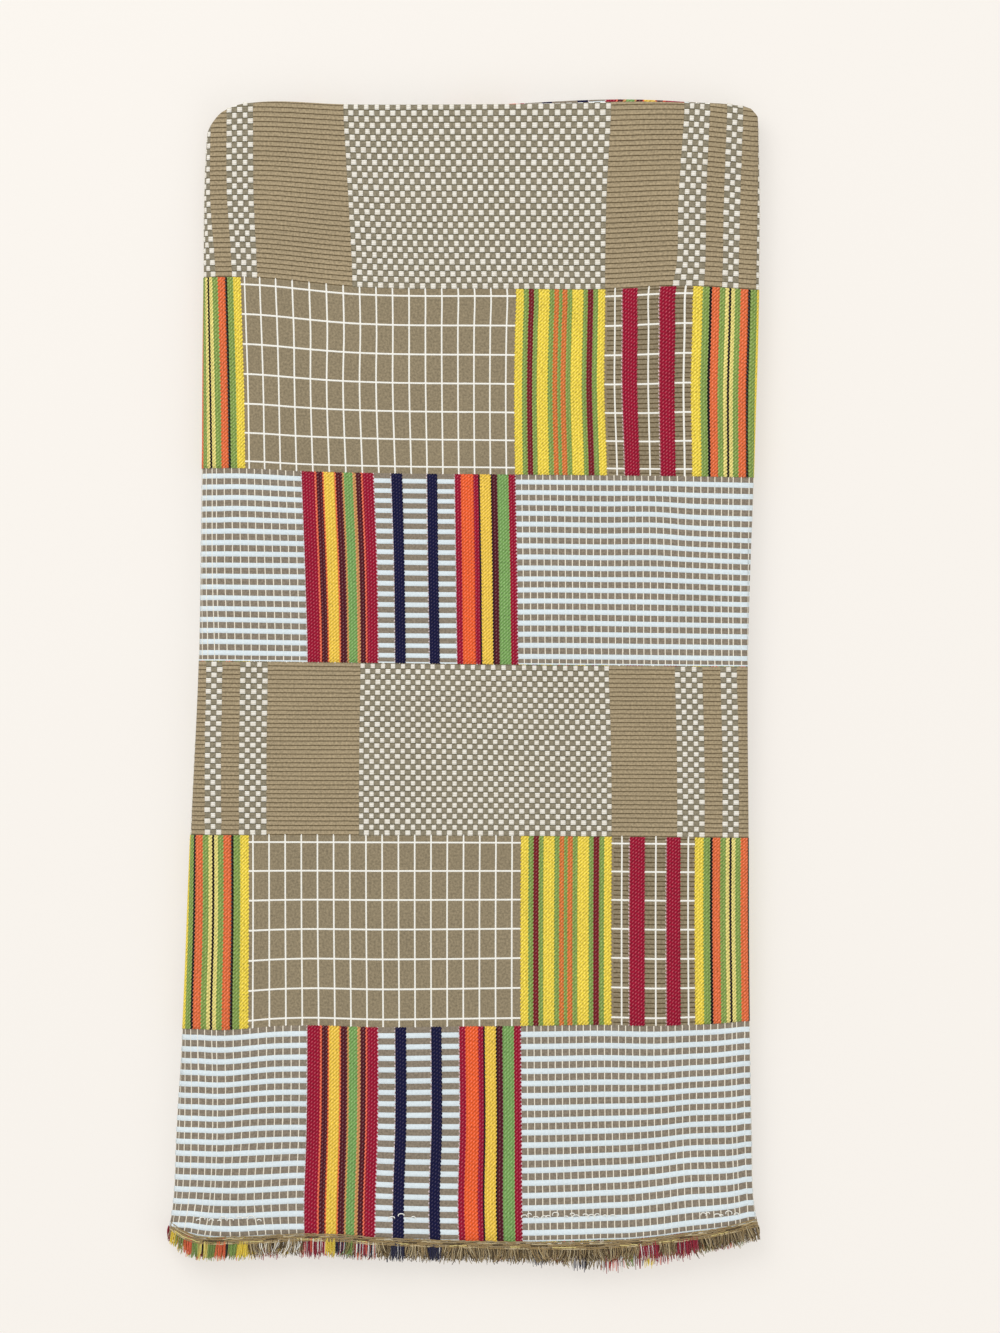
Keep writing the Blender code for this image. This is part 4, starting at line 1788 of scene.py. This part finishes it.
@dataclass
class YarnTree:
    """Geometry tree that turns paths into round yarns of their own thickness."""

    name: str = "yarns_along_paths"

    def build(self) -> bpy.types.NodeTree:
        """Adds the tree, with an input for the number of sides and one for the finish."""
        tree = bpy.data.node_groups.new(self.name, "GeometryNodeTree")
        face = tree.interface
        face.new_socket("Paths", in_out="INPUT", socket_type="NodeSocketGeometry")
        face.new_socket("Sides", in_out="INPUT", socket_type="NodeSocketInt")
        face.new_socket("Finish", in_out="INPUT", socket_type="NodeSocketMaterial")
        face.new_socket("Yarns", in_out="OUTPUT", socket_type="NodeSocketGeometry")
        given = add_node(tree, "NodeGroupInput")
        paths = add_node(tree, "GeometryNodeMeshToCurve", None, {"Mesh": given.outputs["Paths"]})
        thick = add_node(
            tree, "GeometryNodeInputNamedAttribute", {"data_type": "FLOAT"}, {"Name": "radius_m"}
        )
        ring = add_node(
            tree,
            "GeometryNodeCurvePrimitiveCircle",
            None,
            {"Resolution": given.outputs["Sides"], "Radius": 1.0},
        )
        yarns = add_node(
            tree,
            "GeometryNodeCurveToMesh",
            None,
            {
                "Curve": paths.outputs["Curve"],
                "Profile Curve": ring.outputs["Curve"],
                "Scale": thick.outputs[0],
                "Fill Caps": True,
            },
        )
        real = add_node(tree, "GeometryNodeRealizeInstances", None, {"Geometry": yarns.outputs["Mesh"]})
        dressed = add_node(
            tree,
            "GeometryNodeSetMaterial",
            None,
            {"Geometry": real.outputs["Geometry"], "Material": given.outputs["Finish"]},
        )
        add_node(tree, "NodeGroupOutput", None, {"Yarns": dressed.outputs["Geometry"]})
        return tree


@dataclass
class YarnPaths:
    """Paths for loose yarns, with a thickness for each point and a colour for each path."""

    name: str
    points: list = field(default_factory=list)
    radii: list = field(default_factory=list)
    dyes: list = field(default_factory=list)

    def add(self, points: np.ndarray, radii: np.ndarray, dye: Sequence[float]) -> None:
        """Adds one yarn."""
        self.points.append(points)
        self.radii.append(np.broadcast_to(radii, len(points)))
        self.dyes.append(np.tile(np.array(dye, dtype=float), (len(points), 1)))

    def build(self, tree: bpy.types.NodeTree, sides: int, material: bpy.types.Material) -> bpy.types.Object:
        """Makes the yarns through the geometry tree and keeps the plain mesh.

        Args:
            tree: The tree that turns paths into yarns.
            sides: How many sides each yarn has.
            material: The yarns' finish.

        Returns:
            The piece, with no modifier left on it.
        """
        ends = np.cumsum([len(points) for points in self.points])
        last = set(ends.tolist())
        mesh = bpy.data.meshes.new(f"{self.name}_paths")
        links = [(i, i + 1) for i in range(ends[-1] - 1) if i + 1 not in last]
        mesh.from_pydata(np.concatenate(self.points).tolist(), links, [])
        thick = mesh.attributes.new("radius_m", "FLOAT", "POINT")
        thick.data.foreach_set("value", np.concatenate(self.radii))
        dye = mesh.attributes.new("dye", "FLOAT_COLOR", "POINT")
        dye.data.foreach_set("color", np.concatenate(self.dyes).ravel())
        return grown(self.name, mesh, tree, {"Sides": sides, "Finish": material})


@dataclass
class GridCords:
    """The white cords of the grid and the cream threads between the bars, half sunk in the ground."""

    lay: PatternLay
    sizes: PatternSizes = PatternSizes()
    step: float = 2.6 * MM
    level: float = 0.48 * MM
    upright: float = 0.37 * MM
    thread: float = 0.22 * MM
    seed: int = 23

    def add(self, paths: YarnPaths, across: np.ndarray, down: np.ndarray, radius: float, yarn: Yarn) -> None:
        """Adds one cord along places of the pattern, where they show, uneven as spun yarn is."""
        keep = self.lay.seen(across, down)
        if keep.sum() < 3:
            return
        across, down = across[keep], down[keep]
        sunk = -0.35 * radius
        points = self.lay.raised(across, down, np.full(len(across), sunk))
        thick = radius * self.random.uniform(0.78, 1.12, len(across))
        paths.add(points, thick, linear(yarn.value))

    def grid(self) -> YarnPaths:
        """Cords of the white grid, the level ones broken at the coloured blocks."""
        z = self.sizes
        self.random = np.random.default_rng(self.seed)
        paths = YarnPaths("white_grid_cords")
        gaps = (
            (MIRROR_BLOCK.width, YELLOW_BLOCK.start),
            (YELLOW_BLOCK.start + YELLOW_BLOCK.width, CRIMSON_BARS[0][0]),
            (sum(CRIMSON_BARS[0]), CRIMSON_BARS[1][0]),
            (sum(CRIMSON_BARS[1]), REPEAT - MIRROR_BLOCK.width),
        )
        uprights = [z.grid_first_column + k * z.grid_column for k in range(z.grid_columns)] + [*z.lone_lines]
        for band in range(2):
            top = band * BANDS + CHECK_BAND
            for turn in (-1, 0, 1):
                for row in range(7):
                    for left, right in gaps:
                        count = math.ceil((right - left) / self.step) + 1
                        across = turn * REPEAT + np.linspace(left, right, count)
                        drift = self.random.normal(0, 0.05, count) * MM
                        down = top + z.grid_first_row + row * z.grid_row + drift
                        self.add(paths, across, down, self.level, Yarn.WHITE)
                for place in uprights:
                    down = np.arange(top - 0.6 * MM, top + GRID_BAND - 0.8 * MM, self.step)
                    drift = self.random.normal(0, 0.05, len(down)) * MM
                    across = turn * REPEAT + place + drift
                    self.add(paths, across, down, self.upright, Yarn.WHITE)
        return paths

    def threads(self) -> YarnPaths:
        """Cream threads that cross the ground between the white bars."""
        z = self.sizes
        self.random = np.random.default_rng(self.seed + 1)
        paths = YarnPaths("cream_threads")
        left = np.arange(z.left_thread, RED_BLOCK.start, z.left_pitch)
        right_start = ORANGE_BLOCK.start + ORANGE_BLOCK.width
        first = math.ceil((right_start - z.right_thread) / z.right_pitch)
        last = math.floor((REPEAT + 1.0 * MM - z.right_thread) / z.right_pitch)
        right = z.right_thread + z.right_pitch * np.arange(first, last + 1)
        for band in range(2):
            start = band * BANDS + CHECK_BAND + GRID_BAND
            for turn in (-1, 0, 1):
                for place in (*left, *right):
                    down = np.arange(start + 0.4 * MM, start + BAR_BAND - 2.0 * MM, z.bar_pitch / 2)
                    drift = self.random.normal(0, 0.07, len(down)) * MM
                    across = turn * REPEAT + place + drift
                    self.add(paths, across, down, self.thread, Yarn.CREAM)
        return paths


@dataclass
class LooseLoops:
    """Slack loops of the white weft that stand out a little near the selvage."""

    lay: PatternLay
    ranges: tuple = ((196, 262), (392, 420), (522, 618), (702, 744))  # across the photograph, in pixels
    height_px: tuple = (1219.0, 1214.0)  # height in it at the left and at the right
    spacing_px: float = 7.0
    radius: float = 0.27 * MM
    seed: int = 41

    def paths(self) -> YarnPaths:
        """A row of short uneven loops over the ground."""
        random = np.random.default_rng(self.seed)
        found = YarnPaths("loose_weft_loops")
        for start, end in self.ranges:
            for px in np.arange(start, end, self.spacing_px):
                px = px + random.uniform(-2.5, 2.5)
                py = np.interp(px, (196, 744), self.height_px) + random.uniform(-2.0, 2.0)
                half = random.uniform(1.6, 3.6)
                rise = random.uniform(-1.0, 1.0)
                t = np.linspace(0.0, 1.0, 8)
                loop_x = px + half * np.cos(math.pi * (1.15 - 1.3 * t))
                loop_y = py - half * random.uniform(0.35, 0.8) * np.sin(math.pi * (1.15 - 1.3 * t)) + rise * t
                across, down = self.lay.flat_across(loop_x, loop_y), self.lay.flat_down(loop_x, loop_y)
                over = (0.25 + 0.45 * np.sin(math.pi * t)) * MM
                found.add(self.lay.raised(across, down, over), self.radius, linear(Yarn.WHITE.value))
        return found


@dataclass(frozen=True)
class FringeStretch:
    """A stretch of the fringe that shows its own yarns: its start and end across the pattern."""

    start: float
    end: float
    yarns: tuple[Yarn, ...]
    straight: bool = True


FRINGE_TAN = (
    Yarn.FRINGE_TAN,
    Yarn.FRINGE_TAN,
    Yarn.FRINGE_DARK,
    Yarn.TAN,
    Yarn.FRINGE_DARK,
    Yarn.FRINGE_PALE,
)
FRINGE_STRETCHES = (
    FringeStretch(-18.6 * MM, -14.0 * MM, (Yarn.YELLOW,)),
    FringeStretch(-14.0 * MM, -10.4 * MM, (Yarn.GREEN, Yarn.TAN)),
    FringeStretch(-10.4 * MM, -5.4 * MM, (Yarn.ORANGE, Yarn.CORAL)),
    FringeStretch(-5.4 * MM, -2.4 * MM, (Yarn.GREEN,)),
    FringeStretch(-2.4 * MM, -0.5 * MM, (Yarn.YELLOW, Yarn.PALE_YELLOW)),
    FringeStretch(-0.5 * MM, 0.5 * MM, (Yarn.BLACK,)),
    FringeStretch(0.5 * MM, 2.4 * MM, (Yarn.YELLOW, Yarn.PALE_YELLOW)),
    FringeStretch(2.4 * MM, 5.3 * MM, (Yarn.GREEN,)),
    FringeStretch(5.3 * MM, 9.3 * MM, (Yarn.ORANGE,)),
    FringeStretch(9.3 * MM, 10.4 * MM, (Yarn.BLACK,)),
    FringeStretch(10.4 * MM, 13.9 * MM, (Yarn.GREEN,)),
    FringeStretch(13.9 * MM, 18.6 * MM, (Yarn.YELLOW,)),
    FringeStretch(22.0 * MM, 47.0 * MM, (*FRINGE_TAN, Yarn.WHITE, Yarn.CREAM), False),
    FringeStretch(47.5 * MM, 59.5 * MM, (Yarn.CRIMSON, Yarn.CRIMSON, Yarn.CORAL, Yarn.WHITE, Yarn.CRIMSON)),
    FringeStretch(59.5 * MM, 64.5 * MM, (Yarn.YELLOW,)),
    FringeStretch(64.5 * MM, 69.6 * MM, (Yarn.CRIMSON, Yarn.WHITE, Yarn.NAVY)),
    FringeStretch(69.6 * MM, 74.0 * MM, (Yarn.GREEN, Yarn.FRINGE_TAN), False),
    FringeStretch(74.0 * MM, 84.5 * MM, (Yarn.NAVY, Yarn.WHITE, Yarn.CRIMSON, Yarn.CORAL)),
    FringeStretch(92.0 * MM, 99.0 * MM, (Yarn.NAVY, Yarn.NAVY, Yarn.NAVY, Yarn.NAVY, Yarn.WHITE)),
    FringeStretch(110.5 * MM, 117.6 * MM, (Yarn.NAVY, Yarn.NAVY, Yarn.NAVY, Yarn.NAVY, Yarn.WHITE)),
    FringeStretch(216.5 * MM, 226.5 * MM, (Yarn.CRIMSON,) * 6 + (Yarn.WHITE,)),
    FringeStretch(236.0 * MM, 246.0 * MM, (Yarn.CRIMSON,) * 6 + (Yarn.WHITE,)),
)


@dataclass
class SelvageFringe:
    """The cut yarn ends below one woven edge, and the thin threads that bind them."""

    form: FoldedForm
    lay: PatternLay
    side: int  # 1 on the leaf that faces out, -1 on the one underneath
    node: str
    spacing: float = 0.30 * MM
    hidden_spacing: float = 0.75 * MM
    reach: float = 9.2 * MM
    reach_spread: float = 1.4 * MM
    radius: float = 0.23 * MM
    steps: int = 7
    clump: float = 4.5 * MM
    level_threads: tuple = (  # drop below the woven edge, thickness, yarns in turn
        (-0.5 * MM, 0.40 * MM, (Yarn.FRINGE_TAN, Yarn.TAN)),
        (0.4 * MM, 0.36 * MM, (Yarn.FRINGE_PALE, Yarn.FRINGE_TAN, Yarn.TAN)),
        (1.2 * MM, 0.40 * MM, (Yarn.FRINGE_TAN, Yarn.FRINGE_DARK, Yarn.FRINGE_TAN)),
        (2.0 * MM, 0.34 * MM, (Yarn.TAN, Yarn.FRINGE_TAN, Yarn.SHINE)),
        (2.8 * MM, 0.38 * MM, (Yarn.FRINGE_TAN, Yarn.FRINGE_TAN, Yarn.FRINGE_PALE)),
    )
    seed: int = 5

    def yarns_at(self, across: float, s: float) -> tuple[tuple[Yarn, ...], bool]:
        """The yarns that show at a place across the pattern, and whether they hang straight."""
        on_front = s > self.form.begins("right fold")
        if not (on_front and across > 0.247):
            turned = (across + 0.019) % REPEAT - 0.019
            for stretch in FRINGE_STRETCHES:
                if stretch.start <= turned < stretch.end:
                    return stretch.yarns, stretch.straight
        return FRINGE_TAN, False

    def ends(self) -> YarnPaths:
        """Paths of all the yarn ends along the edge."""
        form = self.form
        random = np.random.default_rng(self.seed + self.side)
        paths = YarnPaths(self.node.replace("selvage_fringe", "fringe_yarns"))
        front, wrap = form.begins("front panel"), form.begins("lowest panel")
        near = np.arange(front - 0.012, wrap, self.spacing if self.side > 0 else 0.5 * MM)
        far = np.concatenate(
            [
                np.arange(0.001, front - 0.012, self.hidden_spacing),
                np.arange(wrap, form.length - 0.001, self.hidden_spacing),
            ]
        )
        s = np.concatenate([near, far])
        s = s + random.uniform(-0.2, 0.2, len(s)) * MM
        low = form.woven_end(s, self.side)
        across = self.lay.coordinates(s, low)[:, 0]
        found = [self.yarns_at(a, b) for a, b in zip(across, s)]
        straight = np.array([is_straight for _, is_straight in found])
        shade = random.uniform(0.78, 1.12, len(s))
        dyes = [linear(yarns[random.integers(len(yarns))].value) for yarns, _ in found]
        t = np.linspace(0.0, 1.0, self.steps)[None, :]
        length = self.reach + random.uniform(-1, 1, len(s)) * self.reach_spread
        wave = np.sin(s / 0.0043) + 0.6 * np.sin(s / 0.0017 + 1.0)
        lean = np.where(straight, 0.25, 1.0) * (wave + random.normal(0, 0.9, len(s))) * MM
        curl = np.where(straight, 0.0, random.uniform(0.0, 0.22, len(s)))
        tuck = 0.6 * MM
        y = (low + tuck)[:, None] - t * (length + tuck)[:, None] * (1 - curl[:, None] * t * t)
        hump = random.uniform(0.0, 0.8, len(s)) * MM * self.side
        rise = random.uniform(-0.45, 0.45, len(s))[:, None] * MM + hump[:, None] * np.sin(math.pi * t)
        offset = self.side * form.offset + rise * smooth(0.0, 0.35, t)
        group = np.floor(s / self.clump)
        twist = np.sin(12.9898 * group) * math.pi + random.normal(0, 0.7, len(s))
        sway = np.where(straight, 0.15, random.uniform(0.3, 1.0, len(s))) * MM
        along = s[:, None] + lean[:, None] * t * t
        along = along + sway[:, None] * t * np.sin(twist[:, None] + 4.4 * t)
        points = form.place(along.ravel(), y.ravel(), offset.ravel())
        points[:, 2] = np.maximum(points[:, 2], self.radius * 1.05)
        points = points.reshape(len(s), self.steps, 3)
        thin = 1 - 0.35 * t[0] ** 3
        for i in range(len(s)):
            dye = np.array(dyes[i])
            dye[:3] *= shade[i]
            paths.add(points[i], self.radius * random.uniform(0.8, 1.15) * thin, dye)
        if self.side > 0:
            self.bind(paths, random)
        return paths

    def bind(self, paths: YarnPaths, random: np.random.Generator) -> None:
        """Level threads that cross the yarn ends just below the woven edge, in short lengths."""
        form = self.form
        first = form.begins("right fold") + 0.4 * form.sections[3].length
        last = form.begins("left wrap") + 0.4 * form.sections[5].length
        for drop, radius, yarns in self.level_threads:
            s, turn = first, 0
            while s < last:
                length = random.uniform(5.0, 12.0) * MM
                at = np.linspace(s, min(s + length, last), 7)
                drift = random.normal(0, 0.13, len(at)) * MM
                y = form.woven_end(at, self.side) - drop + drift
                height = form.offset + 0.55 * MM + random.uniform(-0.1, 0.15, len(at)) * MM
                paths.add(form.place(at, y, height), radius, linear(yarns[turn % len(yarns)].value))
                s, turn = s + length * 0.96, turn + 1


def fitted_form() -> FoldedForm:
    """The form, moved to where the frame has its solid."""
    form = FoldedForm()
    cloth = Cloth(form, PatternLay(form))
    columns = cloth.columns()
    corners = []
    for outside in (-form.leaf / 2, form.leaf / 2):
        corners.append(form.place(columns, form.fold_height(columns) + form.offset + outside, 0.0))
        corners.append(form.place(columns, form.woven_end(columns, 1), form.offset + outside))
        corners.append(form.place(columns, form.woven_end(columns, -1), -form.offset - outside))
    points = np.concatenate(corners)
    low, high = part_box("folded_cloth")
    form.shift = Vector(
        (
            high[0] - points[:, 0].max(),
            high[1] - points[:, 1].max(),
            low[2] - points[:, 2].min(),
        )
    )
    log.info("form moved by %s", tuple(round(c, 5) for c in form.shift))
    return form


@dataclass
class Studio:
    """Pale floor, soft light and a camera straight above the cloth."""

    form: FoldedForm
    lens: float = 180.0
    sensor: float = 36.0
    light_size: float = 1.6
    light_watts: float = 19.0
    sky: float = 0.76
    floor_lit: float = 0.6  # share of the floor's light that is its own, as on a lit table

    def build(self) -> None:
        """Makes the floor, the lights, the world and the camera."""
        self.floor()
        self.lights()
        self.camera()

    def floor(self) -> None:
        """Plain pale floor under the cloth."""
        mesh = bpy.data.meshes.new("floor")
        bm = bmesh.new()
        bmesh.ops.create_grid(bm, x_segments=1, y_segments=1, size=4.0)
        bm.to_mesh(mesh)
        bm.free()
        material = bpy.data.materials.new("pale_card")
        material.use_nodes = True
        shader = material.node_tree.nodes["Principled BSDF"]
        red, green, blue, _ = linear("#FCF8F2")
        lit = self.floor_lit
        shader.inputs["Base Color"].default_value = (*(c * (1 - lit) for c in (red, green, blue)), 1.0)
        shader.inputs["Emission Color"].default_value = linear("#F4EFE9")
        shader.inputs["Emission Strength"].default_value = lit
        shader.inputs["Roughness"].default_value = 0.9
        mesh.materials.append(material)
        made = bpy.data.objects.new("floor", mesh)
        bpy.context.scene.collection.objects.link(made)

    def lights(self) -> None:
        """A large lamp up and to the left, a weaker one opposite, and an even sky."""
        world = bpy.data.worlds.new("soft_room")
        world.use_nodes = True
        background = world.node_tree.nodes["Background"]
        background.inputs["Color"].default_value = (1.0, 0.985, 0.96, 1.0)
        background.inputs["Strength"].default_value = self.sky
        bpy.context.scene.world = world
        for name, place, share in (
            ("window", Vector((-0.9, 1.5, 1.7)), 1.0),
            ("fill", Vector((1.6, -1.2, 1.5)), 0.35),
        ):
            data = bpy.data.lights.new(name, "AREA")
            data.size = self.light_size
            data.energy = self.light_watts * share
            lamp = bpy.data.objects.new(name, data)
            lamp.location = place
            lamp.rotation_euler = (-place).to_track_quat("-Z", "Y").to_euler()
            lamp.visible_camera = False
            bpy.context.scene.collection.objects.link(lamp)

    def camera(self) -> None:
        """Camera over the photograph's middle, with its height of view."""
        view_height = PHOTO_HEIGHT * PIXEL
        data = bpy.data.cameras.new("camera")
        data.lens = self.lens
        data.sensor_width = self.sensor
        camera = bpy.data.objects.new("camera", data)
        camera.location = (
            (PHOTO_WIDTH / 2 - PILE_CENTRE_PX[0]) * PIXEL + self.form.shift.x,
            (PILE_CENTRE_PX[1] - PHOTO_HEIGHT / 2) * PIXEL + self.form.shift.y,
            self.form.height + view_height * self.lens / self.sensor,
        )
        bpy.context.scene.collection.objects.link(camera)
        bpy.context.scene.camera = camera
        bpy.context.scene.view_settings.view_transform = "Standard"


def main() -> None:
    """Builds the cloth and the studio round it."""
    logging.basicConfig(level=logging.INFO, format="%(message)s")
    form = fitted_form()
    lay = PatternLay(form)
    cloth = Cloth(form, lay)
    woven = WovenCotton().material()
    made = cloth.build(woven)
    tree = YarnTree().build()
    yarn = YarnCotton().material()
    raised = RaisedStripes(lay)
    cords = GridCords(lay)
    calm = YarnCotton("bleached_cotton_cord", unevenness=0.12).material()
    on_cloth = [
        raised.build("coloured_warp_stripes", raised.blocks(), woven),
        raised.build("white_weft_bars", raised.bars(), woven),
        CheckFloats(lay).build(FloatTree().build(), BleachedCotton().material()),
        cords.grid().build(tree, 6, calm),
        cords.threads().build(tree, 5, calm),
        LooseLoops(lay).paths().build(tree, 5, calm),
    ]
    for piece in on_cloth:
        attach(piece, BODY)
    fringes = []
    for node, side in (("selvage_fringe_front", 1), ("selvage_fringe_back", -1)):
        fringe = SelvageFringe(form, lay, side, node).ends().build(tree, 4, yarn)
        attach(fringe, BODY)
        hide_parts(node)
        fringes.append(fringe)
    for piece in (made, *on_cloth, *fringes):
        log.info("%s: %d faces", piece.name, len(piece.data.polygons))
    Studio(form).build()


if __name__ == "__main__":
    main()
